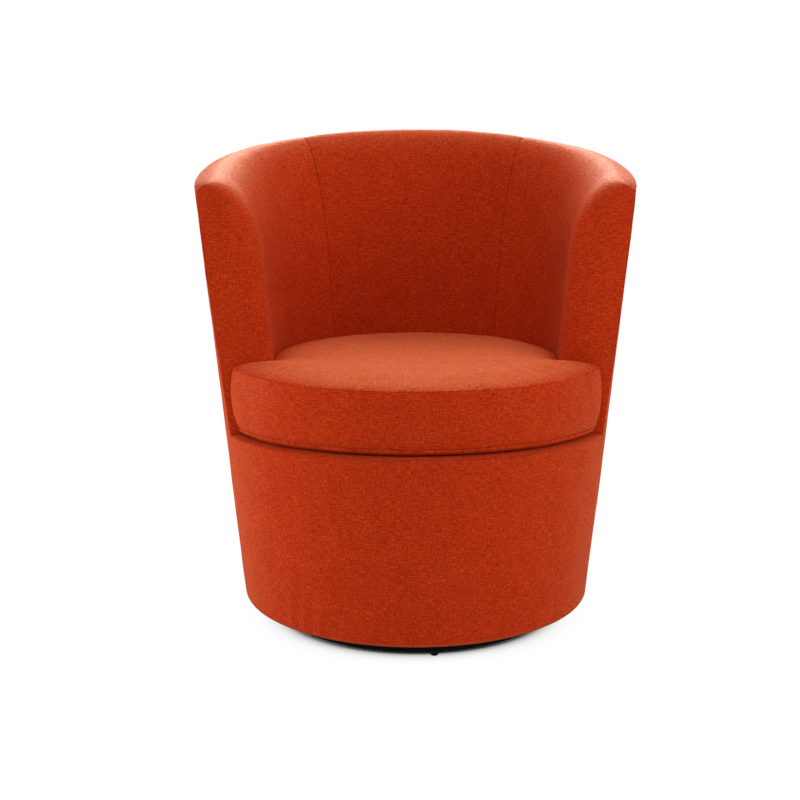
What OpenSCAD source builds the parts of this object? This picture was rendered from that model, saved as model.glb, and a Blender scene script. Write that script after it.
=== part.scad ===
// Upholstered tub chair with a loose seat cushion, on a round swivel base.
// The origin is on the floor under the middle of the overall plan, and the chair faces -Y.

/* [Overall size] */
// Height from the floor to the top of the back
total_h = 860; // [840:1:900]
// Width over the arms
total_w = 760; // [745:1:790]
// Depth from the front of the drum to the back
total_d = 710; // [700:1:730]
// Lean of the outer wall from vertical, in degrees
flare = 5.3; // [4:0.1:6.5]
// Slope of the rim from the back down to the arms, in degrees
rim_tilt = 11.2; // [8:0.1:13]

/* [Tub wall] */
// Thickness of the wall at the middle of the back
back_t = 74; // [66:1:85]
// Thickness of the wall at the arm fronts
arm_t = 96; // [88:1:105]
// Height over which the back pad rolls over to the rim
back_roll = 270; // [200:5:300]
// Height over which the arm pad rolls over to the rim
arm_roll = 100; // [85:5:150]
// Rise of the back pad above the rim seam
back_crest = 1; // [0.5:0.5:4]
// Rise of the arm pad above the rim seam
arm_crest = 12; // [4:1:16]
// Distance of the arm fronts ahead of the swivel axis, at the height of the deck
arm_front = 110; // [100:1:120]
// Lean of the arm fronts from vertical, in degrees
arm_lean = 6.9; // [4:0.1:8]
// Length over which the arm front turns into the inner arm
arm_corner = 70; // [60:1:80]
// Angle of the two inner seams from the middle of the back
seam_az = 34; // [30:1:38]

/* [Seat] */
// Height of the deck under the front of the cushion
deck_h = 371; // [365:1:385]
// Backward slope of the deck and the cushion, in degrees
seat_pitch = 3; // [2:0.1:4]
// Drop of the ledge seam below the deck
edge_drop = 5; // [3:0.5:8]
// Width of the fabric on the ledge in front of the cushion
ledge_w = 62; // [50:1:80]
// Width over which the ledge rounds down to its seam
ledge_round = 12; // [8:1:20]

/* [Loose cushion] */
// Thickness of the cushion at its edge
cushion_t = 107; // [95:1:120]
// Rise of the cushion's middle above its top seam
cushion_crown = 15; // [8:1:20]
// Backward slope of the cushion's top, in degrees
top_pitch = 1.2; // [0.6:0.1:3]
// Setback of the cushion's front behind the ledge seam
cushion_setback = 8; // [5:1:14]
// Bulge of the cushion's front between its seams
cushion_bulge = 4; // [1:0.5:6]
// Radius of the cushion's lower edge
cushion_round = 11; // [8:1:16]
// Corner radius of the cushion's ears in plan
ear_r = 16; // [14:1:30]
// Gap between the cushion and the tub
cushion_gap = 2; // [1.5:0.5:4]

/* [Upholstery layers] */
// Thickness of the cover fabric
cover_t = 1.5; // [1:0.1:2]
// Thickness of the outer wadding
wadding_t = 4; // [3:0.5:5]
// Thickness of the curved hardboard
board_t = 3; // [2.5:0.5:4]
// Slack between neighbouring layers
slack = 0.5; // [0.4:0.1:0.6]
// Thickness of the pad over the rim and in front of the frame
pad_over = 15; // [12:1:20]
// Width of the cover turned under the drum
turn_under = 45; // [35:1:55]
// Radius of the drum's lower edge
drum_edge_r = 10; // [8:1:14]

/* [Frame] */
// Thickness of the posts and the top rail
frame_t = 22; // [18:1:26]
// Thickness of the plywood boards
ply_t = 16; // [15:1:21]
// Drop of the seat ring's top below the deck
ring_drop = 53; // [46:1:60]
// Radius of the opening in the seat ring
ring_hole_r = 205; // [180:1:215]
// Height of the top rail's section
rail_h = 60; // [40:1:80]
// Drop of the top rail below the rim
rail_drop = 50; // [46:1:60]
// Width of the arm posts
arm_post_w = 48; // [36:1:55]
// Width of a webbing strap
strap_w = 60; // [40:1:65]
// Thickness of a webbing strap
strap_t = 1.5; // [1:0.1:2]
// Spacing of the webbing straps
strap_pitch = 80; // [72:1:84]

/* [Swivel base] */
// Height of the glides under the base board
glide_h = 18; // [15:1:28]
// Diameter of a glide
glide_d = 16; // [14:1:28]
// Number of glides
glide_n = 6; // [5:1:6]
// Radius of the circle of glides
glide_circle_r = 224; // [200:1:236]
// Turn of the base about the swivel axis, in degrees
base_turn = 7.2; // [0:0.1:20]
// Radius of the base board
base_r = 257; // [250:1:272]
// Height of the swivel bearing
swivel_h = 11; // [11:0.5:13]
// Side of the square bearing plates
plate_w = 300; // [280:1:310]
// Thickness of the bearing plates
plate_t = 2; // [1.5:0.1:2.4]
// Radius of the ball race
race_r = 105; // [90:1:120]
// Diameter of a bearing ball
ball_d = 6; // [6:0.1:6.4]
// Number of bearing balls
ball_n = 24; // [12:1:30]
// Diameter of the pivot rivet
pivot_d = 12; // [8:1:16]
// Spacing of the screws and of the bolts in the bearing plates
bolt_pitch = 256; // [240:1:262]

/* [Hidden] */
$fn = 64;
DRUM_POSTS = 8;
BACK_POSTS = 5;

// Colours of the finishes
FABRIC = "#b8391b";
FOAM = "#e9dfb8";
FELT = "#e8e6e0";
PLY = "#c9a26b";
HARDBOARD = "#8a6238";
STEEL = "#9aa0a6";
BLACK = "#1c1b1a";

// The outer wall is a cone whose plan is stretched a little along X
wall_slope = tan(flare);
rim_slope = tan(rim_tilt);
rim_h = total_h - back_crest;
edge_h = deck_h - edge_drop;
ring_h = deck_h - ring_drop;
rim_r = (total_d + wall_slope * (rim_h - edge_h)) / 2;
function wall_r(z) = rim_r - wall_slope * (rim_h - z);
function rim_at(y) = rim_h - rim_slope * (rim_r - y);
edge_r = wall_r(edge_h);
stretch = total_w / 2 / wall_r(rim_at(0));
axis_y = (edge_r - rim_r) / 2;

// A place on the plan at an angle az from the back, clockwise seen from above
function place(az, r, z) = [stretch * r * sin(az), r * cos(az), z];
function az_at(y, r) = acos(y / r);

// Heights and slopes of the seat and of the arm fronts
function deck_z(y) = deck_h - tan(seat_pitch) * (y + edge_r);
function front_y(z) = -arm_front + tan(arm_lean) * (z - deck_h);
side_edge_h = deck_z(-arm_front) - edge_drop;
function edge_z(az, n = 3) =
    n == 0 ? edge_h : let (z = edge_z(az, n - 1)) deck_z(wall_r(z) * cos(az)) - edge_drop;

// Insets of the layers from the face of the outer cover
wadding_in = cover_t + 2 * slack;
board_in = wadding_in + wadding_t + slack;
frame_in = board_in + board_t + 2 * slack;
inner_in = frame_in + frame_t + slack;
pad_in = inner_in + board_t + slack;
core_in = cover_t + slack;

// Heights of the layers of the base and the drum
BASE_EASE = 0.3;
base_top = glide_h + ply_t;
drum_bottom = base_top + swivel_h;
cover_low = drum_bottom - cover_t - BASE_EASE;
floor_top = drum_bottom + ply_t;
tub_low = ring_h + slack;

// Clearance along the seams between two covers
SEAM_GAP = 0.6;

// Stations round the wall: the left arm, the back, the right arm and then the open front
ARM_N = 14;
BACK_N = 12;
FRONT_N = 16;
WALL_N = 2 * ARM_N + BACK_N;
DRUM_N = WALL_N + FRONT_N;
function wall_az(i, z, r, w) =
    let (end = az_at(front_y(z) + w, r))
    i < ARM_N ? -seam_az - (end - seam_az) * (1 - i / ARM_N)
    : i <= ARM_N + BACK_N ? seam_az * (2 * (i - ARM_N) / BACK_N - 1)
    : seam_az + (end - seam_az) * (i - ARM_N - BACK_N) / ARM_N;
drum_end_az = az_at(front_y(ring_h), wall_r(ring_h));
function drum_az(i) =
    i <= WALL_N ? wall_az(i, ring_h, wall_r(ring_h), 0)
    : drum_end_az + (360 - 2 * drum_end_az) * (i - WALL_N) / FRONT_N;

// Height of the rim at a station whose layer ends w behind the arm front
function rim_z(i, w, n = 5) =
    n == 0 ? rim_at(0)
    : let (z = rim_z(i, w, n - 1), r = wall_r(z)) rim_at(r * cos(wall_az(i, z, r, w)));

// Rows of one layer of the tub wall, from the height low to a drop below the rim
WALL_ROWS = 3;
function tub_rows(i, inset, w, low, drop) = [
    for (j = [0:WALL_ROWS])
        let (z = low + (rim_z(i, w) - drop - low) * j / WALL_ROWS, r = wall_r(z) - inset)
        place(wall_az(i, z, r, w), r, z)
];
function tub_layer(inset, w, low, drop) =
    [for (i = [0:WALL_N]) tub_rows(i, inset, w, low, drop)];
function drum_layer(inset, low, high) =
    [for (i = [0:DRUM_N - 1]) [for (z = [low, high]) place(drum_az(i), wall_r(z) - inset, z)]];

// A solid between two grids of points a and b, where a is the outer one
TINY = 0.000001;
function same(p, q) = norm(p - q) < TINY;
function point_id(g, i, j, m) =
    j > 0 && same(g[i][j], g[i][j - 1]) ? point_id(g, i, j - 1, m)
    : i > 0 && same(g[i][j], g[i - 1][j]) ? point_id(g, i - 1, j, m)
    : i * m + j;
function halves(q) = [
    for (t = [[q[0], q[1], q[2]], [q[0], q[2], q[3]]])
        if (t[0] != t[1] && t[1] != t[2] && t[2] != t[0]) t
];
module slab(a, b, closed = false, mask = undef) {
    n = len(a);
    m = len(a[0]);
    ids = [for (g = [a, b]) [for (i = [0:n - 1]) [for (j = [0:m - 1]) point_id(g, i, j, m)]]];
    columns = closed ? n : n - 1;
    function id(s, i, j) = s * n * m + ids[s][i % n][j];
    function on(i, j) =
        j < 0 || j >= m - 1 || (!closed && (i < 0 || i >= columns)) ? false
        : mask == undef ? true : mask[(i + columns) % columns][j];
    quads = [
        for (i = [0:columns - 1], j = [0:m - 2])
            if (on(i, j)) each [
                [id(0, i, j), id(0, i + 1, j), id(0, i + 1, j + 1), id(0, i, j + 1)],
                [id(1, i, j), id(1, i, j + 1), id(1, i + 1, j + 1), id(1, i + 1, j)],
                if (!on(i, j - 1)) [id(0, i + 1, j), id(0, i, j), id(1, i, j), id(1, i + 1, j)],
                if (!on(i, j + 1))
                    [id(0, i + 1, j + 1), id(1, i + 1, j + 1), id(1, i, j + 1), id(0, i, j + 1)],
                if (!on(i - 1, j)) [id(0, i, j), id(0, i, j + 1), id(1, i, j + 1), id(1, i, j)],
                if (!on(i + 1, j))
                    [id(0, i + 1, j), id(1, i + 1, j), id(1, i + 1, j + 1), id(0, i + 1, j + 1)]
            ]
    ];
    polyhedron(
        points = [for (g = [a, b]) each [for (column = g) each column]],
        faces = [for (q = quads) each halves(q)],
        convexity = 8
    );
}

// A solid whose grid of points g closes round and ends in a pole at each end
module lump(g, low_pole, high_pole) {
    n = len(g);
    m = len(g[0]);
    function id(i, j) = (i % n) * m + j;
    sides = [
        for (i = [0:n - 1], j = [0:m - 2])
            each halves([id(i, j), id(i + 1, j), id(i + 1, j + 1), id(i, j + 1)])
    ];
    ends = [
        for (i = [0:n - 1])
            each [[id(i + 1, 0), id(i, 0), n * m], [id(i, m - 1), id(i + 1, m - 1), n * m + 1]]
    ];
    polyhedron(
        points = concat([for (column = g) each column], [low_pole, high_pole]),
        faces = concat(sides, ends),
        convexity = 6
    );
}

// Moves what is built about the swivel axis to its place in the plan
module at_axis() {
    translate([0, axis_y, 0]) children();
}

// The inner face of the wall: a straight body, a roll over to the rim, and a crest at the rim
BODY_ROWS = 3;
ROLL_ROWS = 7;
CREST_ROWS = 2;
PAD_ROWS = BODY_ROWS + ROLL_ROWS + CREST_ROWS;
ROLL_POWER = 1.11;
CORNER_POWER = 0.667;
BACK_PEAK = 0.06;
ARM_PEAK = 0.33;
function mix(a, b, t) = a + (b - a) * t;
function smooth(t) = t * t * (3 - 2 * t);
function wall_t(f) = mix(back_t, arm_t, smooth(f));
function arm_az(f, z, r) =
    seam_az + f * (az_at(front_y(z) + arm_corner, r) - seam_az);

// A station is [side, az, f, th]: side 0 is the back at the angle az, f runs along the arm,
// and th turns from 90 at the end of the inner arm to 0 at the outer corner of its front
function corner_w(th, off) = off + (arm_corner - off) * (1 - pow(cos(th), CORNER_POWER));
function station_az(s, z, r, w) =
    s[0] == 0 ? s[1] : s[0] * (s[2] < 1 ? arm_az(s[2], z, r) : az_at(front_y(z) + w, r));
function station_rim(s, w, n = 5) =
    n == 0 ? rim_at(0)
    : let (z = station_rim(s, w, n - 1), r = wall_r(z)) rim_at(r * cos(station_az(s, z, r, w)));
function pad_face(s, off, low) = [
    for (j = [0:PAD_ROWS])
        let (
            turn = pow(sin(s[3]), CORNER_POWER),
            w = corner_w(s[3], off),
            rim = station_rim(s, w),
            full = off + (wall_t(s[2]) - 2 * off) * turn,
            top = mix(off, full, mix(BACK_PEAK, ARM_PEAK, smooth(s[2]))),
            roll = mix(back_roll, arm_roll, smooth(s[2])),
            crest = mix(back_crest, arm_crest, smooth(s[2])) * turn,
            t = min(j / BODY_ROWS, 1),
            up = 90 * min(max(j - BODY_ROWS, 0) / ROLL_ROWS, 1),
            over = 90 * max(j - BODY_ROWS - ROLL_ROWS, 0) / CREST_ROWS,
            rolled = mix(top, full, pow(cos(up), ROLL_POWER)),
            inset = mix(rolled, off, sin(over)),
            body_z = mix(low, rim - roll, t),
            z = over > 0 ? rim - off + crest * pow(cos(over), 2)
                : body_z + (roll + crest - off) * pow(sin(up), ROLL_POWER),
            r = wall_r(z) - inset
        )
        place(station_az(s, z, r, w), r, z)
];

// The frame side of a pad: up the inner board, over the top rail and out to the rim
BEND_DROP = 70;
function pad_back(s) =
    let (
        turn = pow(sin(s[3]), CORNER_POWER),
        w = corner_w(s[3], pad_over),
        rim = station_rim(s, w),
        face = pad_face(s, core_in, tub_low),
        peak = face[BODY_ROWS + ROLL_ROWS][2]
    )
    [
        for (j = [0:PAD_ROWS])
            let (
                over = 90 * max(j - BODY_ROWS - ROLL_ROWS, 0) / CREST_ROWS,
                share = over > 0 ? 1 : (face[j][2] - tub_low) / (peak - tub_low),
                z = mix(tub_low, rim - pad_over, share),
                bend = max(BEND_DROP - (rim - z), 0) / (BEND_DROP - pad_over),
                lean = sqrt(max(1 - bend * bend, 0)),
                inset = mix(frame_in + (pad_in - frame_in) * turn * lean, core_in, 1 - cos(over)),
                r = wall_r(z) - inset
            )
            place(station_az(s, z, r, w), r, z)
    ];

// Stations of the three inner panels, in the order of the wall
BODY_N = 8;
CORNER_N = 6;
back_stations = [for (i = [0:BACK_N]) [0, seam_az * (2 * i / BACK_N - 1), 0, 90]];
function arm_stations(side) =
    let (
        out = concat(
            [for (i = [0:BODY_N]) [side, 0, i / BODY_N, 90]],
            [for (i = [1:CORNER_N]) [side, 0, 1, 90 * (1 - i / CORNER_N)]]
        )
    )
    side > 0 ? out : [for (i = [len(out) - 1:-1:0]) out[i]];
module pad(stations) {
    slab([for (s = stations) pad_back(s)], [for (s = stations) pad_face(s, core_in, tub_low)]);
}

// The inner covers end just above the seam of the ledge, hidden beside the deck
function cover_foot(s) =
    let (r = wall_r(deck_h), az = station_az(s, deck_h, r, corner_w(s[3], 0)))
    deck_z(r * cos(az)) - edge_drop + 2 * SEAM_GAP;
module inner_cover(stations) {
    slab(
        [for (s = stations) pad_face(s, cover_t, cover_foot(s))],
        [for (s = stations) pad_face(s, 0, cover_foot(s))]
    );
}

// Inner boards, behind the pads, up to a drop below the rim
BOARD_DROP = 82;
function inner_rows(s, inset) = [
    for (j = [0:WALL_ROWS])
        let (
            rim = station_rim(s, arm_corner),
            z = mix(tub_low, rim - BOARD_DROP, j / WALL_ROWS),
            r = wall_r(z) - inset
        )
        place(station_az(s, z, r, arm_corner), r, z)
];
module inner_board(stations) {
    flat = [for (s = stations) if (s[3] == 90) s];
    slab([for (s = flat) inner_rows(s, inner_in)], [for (s = flat) inner_rows(s, inner_in + board_t)]);
}

// Plan of the seat inside the tub, as the right half from the rear to the middle of the front.
// gap is its distance from the tub and rt the radius of its ear corners. With ears, rf is the radius
// of its front, and without them the inset of its front from the face of the outer cover
REAR_K = 4;
SIDE_K = 6;
TURN_K = 4;
EAR_K = 3;
SEAT_FRONT_K = FRONT_N / 2;
function seat_count(rt) = REAR_K + SIDE_K + TURN_K + (rt > 0 ? EAR_K : 0) + SEAT_FRONT_K;
function seat_xy(k, z, gap, rf, rt) =
    let (
        r = wall_r(z),
        front_r = rt > 0 ? rf : r - rf,
        y_line = front_y(z) - gap,
        y_c = y_line - rt,
        x_c = sqrt(pow(front_r - rt, 2) - y_c * y_c),
        r_tip = norm([x_c, y_line]),
        tip_turn = (r - r_tip + gap) / (arm_t + 2 * gap),
        tip_th = asin(pow(tip_turn, 1 / CORNER_POWER)),
        tip_az = rt > 0 ? atan2(x_c, y_c) : drum_end_az,
        k1 = REAR_K,
        k2 = k1 + SIDE_K,
        k3 = k2 + TURN_K,
        k4 = k3 + (rt > 0 ? EAR_K : 0),
        f = (k - k1) / SIDE_K,
        th = 90 + (tip_th - 90) * (k - k2) / TURN_K,
        w = corner_w(th, -gap),
        turned_r = r + gap - (arm_t + 2 * gap) * pow(sin(th), CORNER_POWER),
        beta = tip_az * (k - k3) / EAR_K,
        front_az = mix(tip_az, 180, (k - k4) / SEAT_FRONT_K)
    )
    k <= k1 ? (r - back_t - gap) * [sin(seam_az * k / k1), cos(seam_az * k / k1)]
    : k <= k2 ? let (rr = r - wall_t(f) - gap, az = arm_az(f, z, rr)) rr * [sin(az), cos(az)]
    : k <= k3 ? [sqrt(pow(turned_r, 2) - pow(front_y(z) + w, 2)), front_y(z) + w]
    : k <= k4 ? [x_c, y_c] + rt * [sin(beta), cos(beta)]
    : front_r * [sin(front_az), cos(front_az)];

// A height h above the sloping deck, where the cushion grows thicker towards the rear
function seat_z(h, y) =
    let (growth = (tan(seat_pitch) - tan(top_pitch)) / cushion_t)
    deck_z(y) + h + growth * max(h, 0) * (y + edge_r);

// The seat plan at a height h above the deck, drawn in by d towards the middle
SEAT_MIDDLE = [0, -arm_front - ear_r];
function seat_point(k, h, gap, rf, rt, d) =
    let (
        p0 = seat_xy(k, seat_z(h, -arm_front), gap, rf, rt),
        p1 = seat_xy(k, seat_z(h, p0[1]), gap, rf, rt),
        reach = norm(p1 - SEAT_MIDDLE),
        p = mix(p1, SEAT_MIDDLE, min(d / reach, 1))
    )
    [stretch * p[0], p[1], seat_z(h, p[1])];
function seat_grid(rings, rt) =
    let (n = seat_count(rt))
    [
        for (i = [0:2 * n - 1])
            [
                for (q = rings)
                    let (p = seat_point(i <= n ? i : 2 * n - i, q[0], q[1], q[2], rt, q[3]))
                    i <= n ? p : [-p[0], p[1], p[2]]
            ]
    ];
function seat_pole(h) =
    [stretch * SEAT_MIDDLE[0], SEAT_MIDDLE[1], seat_z(h, SEAT_MIDDLE[1])];

// Rings of the cushion as [height, gap, front radius, draw-in], each moved in by off. The front
// radius follows the bulge, and the top rises to its crown over shares of the front radius
cushion_r = edge_r - cushion_setback;
cushion_foot = slack;
SEAM_BULGE = -0.5;
FRONT_BULGE = [[0.43, 0.5], [0.78, 0.35]];
EDGE_BULGE = -1;
FOOT_BULGE = -1.75;
BASE_HOLE = 9;
CROWN_ROWS = [[0, 0], [0.3, 0.04], [0.62, 0.12], [0.88, 0.28], [0.97, 0.46]];
function cushion_ring(h, bulge, draw, off) =
    [h, cushion_gap + off, cushion_r + cushion_bulge * bulge - off, draw];
function base_rings(off) = [
    for (draw = [BASE_HOLE, 1]) cushion_ring(cushion_foot + off, FOOT_BULGE, cushion_round * draw, off),
    cushion_ring(cushion_foot + off + cushion_round / 4, FOOT_BULGE, cushion_round / 4, off),
    cushion_ring(cushion_foot + cushion_round, EDGE_BULGE, 0, off)
];
function border_rings(off) = [
    cushion_ring(cushion_foot + cushion_round, EDGE_BULGE, 0, off),
    for (q = FRONT_BULGE) cushion_ring(cushion_t * q[0], q[1], 0, off),
    cushion_ring(cushion_t - off, SEAM_BULGE, 0, off)
];
function top_rings(off) = [
    for (q = CROWN_ROWS)
        cushion_ring(cushion_t + cushion_crown * q[0] - off, SEAM_BULGE, cushion_r * q[1], off)
];
function closed_at(g, pole, at_start) =
    [for (column = g) at_start ? concat([pole], column) : concat(column, [pole])];

// The zip lies in the rear of the border, between its two middle rings
ZIP_K = 5;
function zip_cell(i, j, n) = j == 1 && (i < ZIP_K || i >= 2 * n - ZIP_K);
function border_mask(in_zip) =
    let (n = seat_count(ear_r))
    [for (i = [0:2 * n - 1]) [for (j = [0:2]) zip_cell(i, j, n) == in_zip]];
module border_part(in_zip) {
    slab(
        seat_grid(border_rings(0), ear_r),
        seat_grid(border_rings(cover_t), ear_r),
        closed = true,
        mask = border_mask(in_zip)
    );
}

// Rings of the deck covering, from the ledge seam inwards
function deck_rings(off) = [
    [-edge_drop + SEAM_GAP - off, cushion_gap + off, off, 0],
    [-off, cushion_gap + off, off, ledge_round],
    [-off, cushion_gap + off, off, ledge_w]
];
function ledge_cell(i, j, n) = j < 2 && i >= REAR_K + SIDE_K && i < 2 * n - REAR_K - SIDE_K;
module deck_part(in_ledge) {
    n = seat_count(0);
    slab(
        closed_at(seat_grid(deck_rings(0), 0), seat_pole(0), false),
        closed_at(seat_grid(deck_rings(cover_t), 0), seat_pole(-cover_t), false),
        closed = true,
        mask = [for (i = [0:2 * n - 1]) [for (j = [0:2]) ledge_cell(i, j, n) == in_ledge]]
    );
}

// Outline of a level board at the height z
module board_outline(z, inset) {
    polygon([for (i = [0:DRUM_N - 1]) let (p = place(drum_az(i), wall_r(z) - inset, 0)) [p[0], p[1]]]);
}
module square_places(pitch, z) {
    for (x = [-pitch / 2, pitch / 2], y = [-pitch / 2, pitch / 2]) translate([x, y, z]) children();
}

// Fixed base
STEM_D = 7;
STEM_L = 12;
FIT = 0.05;
OVER = 1;
GLIDE_ROUND = 4;
GLIDE_SOLE = 0.28;
GLIDE_SHOULDER = 0.42;
GLIDE_FLANGE = 2;
module glide_places() {
    for (i = [1:glide_n]) rotate(-90 + 360 * (i - 1) / glide_n) translate([glide_circle_r, 0, 0]) children();
}
module glide(i) {
    r = glide_d / 2;
    color(BLACK)
        at_axis()
            rotate(base_turn - 90 + 360 * (i - 1) / glide_n)
                translate([glide_circle_r, 0, 0])
                    rotate_extrude()
                        polygon([
                            [0, 0], [glide_d * GLIDE_SOLE, 0],
                            [glide_d * GLIDE_SHOULDER, GLIDE_ROUND / 3], [r, GLIDE_ROUND],
                            [r, glide_h - GLIDE_FLANGE * 1.5], [r + GLIDE_FLANGE, glide_h - GLIDE_FLANGE],
                            [r + GLIDE_FLANGE, glide_h], [STEM_D / 2, glide_h],
                            [STEM_D / 2, glide_h + STEM_L], [0, glide_h + STEM_L]
                        ]);
}
SCREW_D = 4;
SCREW_L = 13;
HUB_HOLE_R = 40;
CHAMFER = 2;
ACCESS_D = 18;
module base_board() {
    color(BLACK)
        at_axis()
            rotate(base_turn)
                difference() {
                    translate([0, 0, glide_h])
                        rotate_extrude()
                            polygon([
                                [HUB_HOLE_R, 0], [base_r - CHAMFER, 0], [base_r, CHAMFER],
                                [base_r, ply_t - CHAMFER], [base_r - CHAMFER, ply_t], [HUB_HOLE_R, ply_t]
                            ]);
                    glide_places()
                        translate([0, 0, glide_h - OVER])
                            cylinder(d = STEM_D + 2 * FIT, h = STEM_L + 1.5 * OVER);
                    square_places(bolt_pitch, base_top - SCREW_L - OVER / 2)
                        cylinder(d = SCREW_D + 2 * FIT, h = SCREW_L + OVER);
                    translate([bolt_pitch * sqrt(0.5), 0, glide_h - OVER])
                        cylinder(d = ACCESS_D, h = ply_t + 2 * OVER);
                }
}

// Swivel bearing
BALL_Z = (base_top + drum_bottom) / 2;
RACE_W = 7;
PLATE_CORNER = 0.677;
cage_t = plate_t;
race_h = swivel_h / 2 - plate_t - cage_t / 2 - BASE_EASE;
module race_groove() {
    translate([0, 0, BALL_Z])
        rotate_extrude() translate([race_r, 0]) circle(r = ball_d / 2 + FIT, $fn = 32);
}
module bearing_plate(low, race_low, pivot_gap, hole_d) {
    difference() {
        union() {
            translate([0, 0, low])
                intersection() {
                    translate([-plate_w / 2, -plate_w / 2, 0]) cube([plate_w, plate_w, plate_t]);
                    cylinder(r = plate_w * PLATE_CORNER, h = plate_t);
                }
            translate([0, 0, race_low])
                difference() {
                    cylinder(r = race_r + RACE_W, h = race_h);
                    translate([0, 0, -OVER]) cylinder(r = race_r - RACE_W, h = race_h + 2 * OVER);
                }
        }
        race_groove();
        translate([0, 0, low - OVER]) cylinder(d = pivot_d + 2 * pivot_gap, h = plate_t + 2 * OVER);
        square_places(bolt_pitch, low - OVER) cylinder(d = hole_d, h = plate_t + 2 * OVER);
    }
}
TIGHT_FIT = 0.02;
HOLE_EASE = 1.1;
module lower_plate() {
    color(STEEL)
        at_axis()
            rotate(base_turn)
                bearing_plate(base_top, base_top + plate_t, TIGHT_FIT, SCREW_D * HOLE_EASE);
}
module lower_screws() {
    color(STEEL)
        at_axis()
            rotate(base_turn)
                square_places(bolt_pitch, base_top - SCREW_L)
                    rotate_extrude()
                        polygon([
                            [0, 0], [SCREW_D / 2, SCREW_D / 2], [SCREW_D / 2, SCREW_L + plate_t],
                            [SCREW_D, SCREW_L + plate_t], [SCREW_D * 0.8, SCREW_L + plate_t + SCREW_D * 0.4],
                            [0, SCREW_L + plate_t + SCREW_D / 2]
                        ]);
}
RIVET_HEAD_R = 12;
RIVET_HEAD_H = 3;
RIVET_CHAMFER = 1;
module pivot_rivet() {
    upper = drum_bottom + 2 * FIT;
    color(STEEL)
        at_axis()
            rotate_extrude()
                polygon([
                    [0, base_top - RIVET_HEAD_H],
                    [RIVET_HEAD_R - RIVET_CHAMFER, base_top - RIVET_HEAD_H],
                    [RIVET_HEAD_R, base_top - RIVET_HEAD_H + RIVET_CHAMFER],
                    [RIVET_HEAD_R, base_top],
                    [pivot_d / 2, base_top],
                    [pivot_d / 2, upper],
                    [RIVET_HEAD_R, upper],
                    [RIVET_HEAD_R, upper + RIVET_HEAD_H - RIVET_CHAMFER],
                    [RIVET_HEAD_R - RIVET_CHAMFER, upper + RIVET_HEAD_H],
                    [0, upper + RIVET_HEAD_H]
                ]);
}
module ball_places() {
    for (i = [1:ball_n]) rotate(360 * i / ball_n) translate([race_r, 0, BALL_Z]) children();
}
module ball_cage() {
    color(STEEL)
        at_axis()
            difference() {
                translate([0, 0, BALL_Z - cage_t / 2])
                    difference() {
                        cylinder(r = race_r + RACE_W, h = cage_t);
                        translate([0, 0, -OVER]) cylinder(r = race_r - RACE_W, h = cage_t + 2 * OVER);
                    }
                ball_places()
                    translate([0, 0, -cage_t]) cylinder(r = ball_d / 2 + FIT, h = 2 * cage_t, $fn = 32);
            }
}
module bearing_balls() {
    color(STEEL) at_axis() ball_places() sphere(d = ball_d, $fn = 32);
}
BOLT_D = 6;
BOLT_L = 20;
BOLT_HEAD_H = 3.4;
NUT_BARREL_D = 8;
NUT_BARREL_L = 11;
NUT_FLANGE_T = 1.5;
module upper_plate() {
    color(STEEL)
        at_axis()
            bearing_plate(drum_bottom - plate_t, drum_bottom - plate_t - race_h, FIT, BOLT_D * HOLE_EASE);
}
module upper_bolts() {
    color(STEEL)
        at_axis()
            square_places(bolt_pitch, drum_bottom - plate_t)
                rotate_extrude()
                    polygon([
                        [0, -BOLT_HEAD_H], [BOLT_D * 0.7, -BOLT_HEAD_H], [BOLT_D, -BOLT_HEAD_H / 2],
                        [BOLT_D, 0], [BOLT_D / 2, 0], [BOLT_D / 2, BOLT_L], [0, BOLT_L]
                    ]);
}
module tee_nuts() {
    color(STEEL)
        at_axis()
            square_places(bolt_pitch, floor_top)
                difference() {
                    union() {
                        cylinder(r = NUT_BARREL_D, h = NUT_FLANGE_T);
                        translate([0, 0, -NUT_BARREL_L])
                            cylinder(d = NUT_BARREL_D, h = NUT_BARREL_L + NUT_FLANGE_T);
                    }
                    translate([0, 0, -ply_t]) cylinder(d = BOLT_D + 2 * FIT, h = ply_t * 2);
                }
}

// Frame of the drum
PIVOT_HOLE_R = 20;
module bottom_board() {
    color(PLY)
        at_axis()
            difference() {
                translate([0, 0, drum_bottom])
                    linear_extrude(ply_t) board_outline(drum_bottom, frame_in);
                translate([0, 0, drum_bottom - OVER]) cylinder(r = PIVOT_HOLE_R, h = ply_t + 2 * OVER);
                square_places(bolt_pitch, drum_bottom - OVER)
                    cylinder(d = NUT_BARREL_D + 2 * FIT, h = ply_t + 2 * OVER);
            }
}
module drum_post(i) {
    first = DRUM_N / DRUM_POSTS * (i - 1) + 2;
    function side(inset) = [
        for (s = [first, first + 1])
            [for (z = [floor_top, ring_h - ply_t]) place(drum_az(s), wall_r(z) - inset, z)]
    ];
    color(PLY) at_axis() slab(side(frame_in), side(frame_in + frame_t));
}
module seat_ring() {
    color(PLY)
        at_axis()
            translate([0, 0, ring_h - ply_t])
                difference() {
                    linear_extrude(ply_t) board_outline(ring_h - ply_t, frame_in);
                    translate([0, 0, -OVER]) cylinder(r = ring_hole_r, h = ply_t + 2 * OVER);
                }
}
BOARD_RAISE = 4;
module drum_board() {
    low = drum_bottom + BOARD_RAISE;
    color(HARDBOARD)
        at_axis()
            slab(
                drum_layer(board_in, low, ring_h),
                drum_layer(board_in + board_t, low, ring_h),
                closed = true
            );
}
module drum_wadding() {
    low = cover_low + drum_edge_r;
    color(FELT)
        at_axis()
            slab(
                drum_layer(wadding_in, low, ring_h),
                drum_layer(wadding_in + wadding_t, low, ring_h),
                closed = true
            );
}

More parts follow.
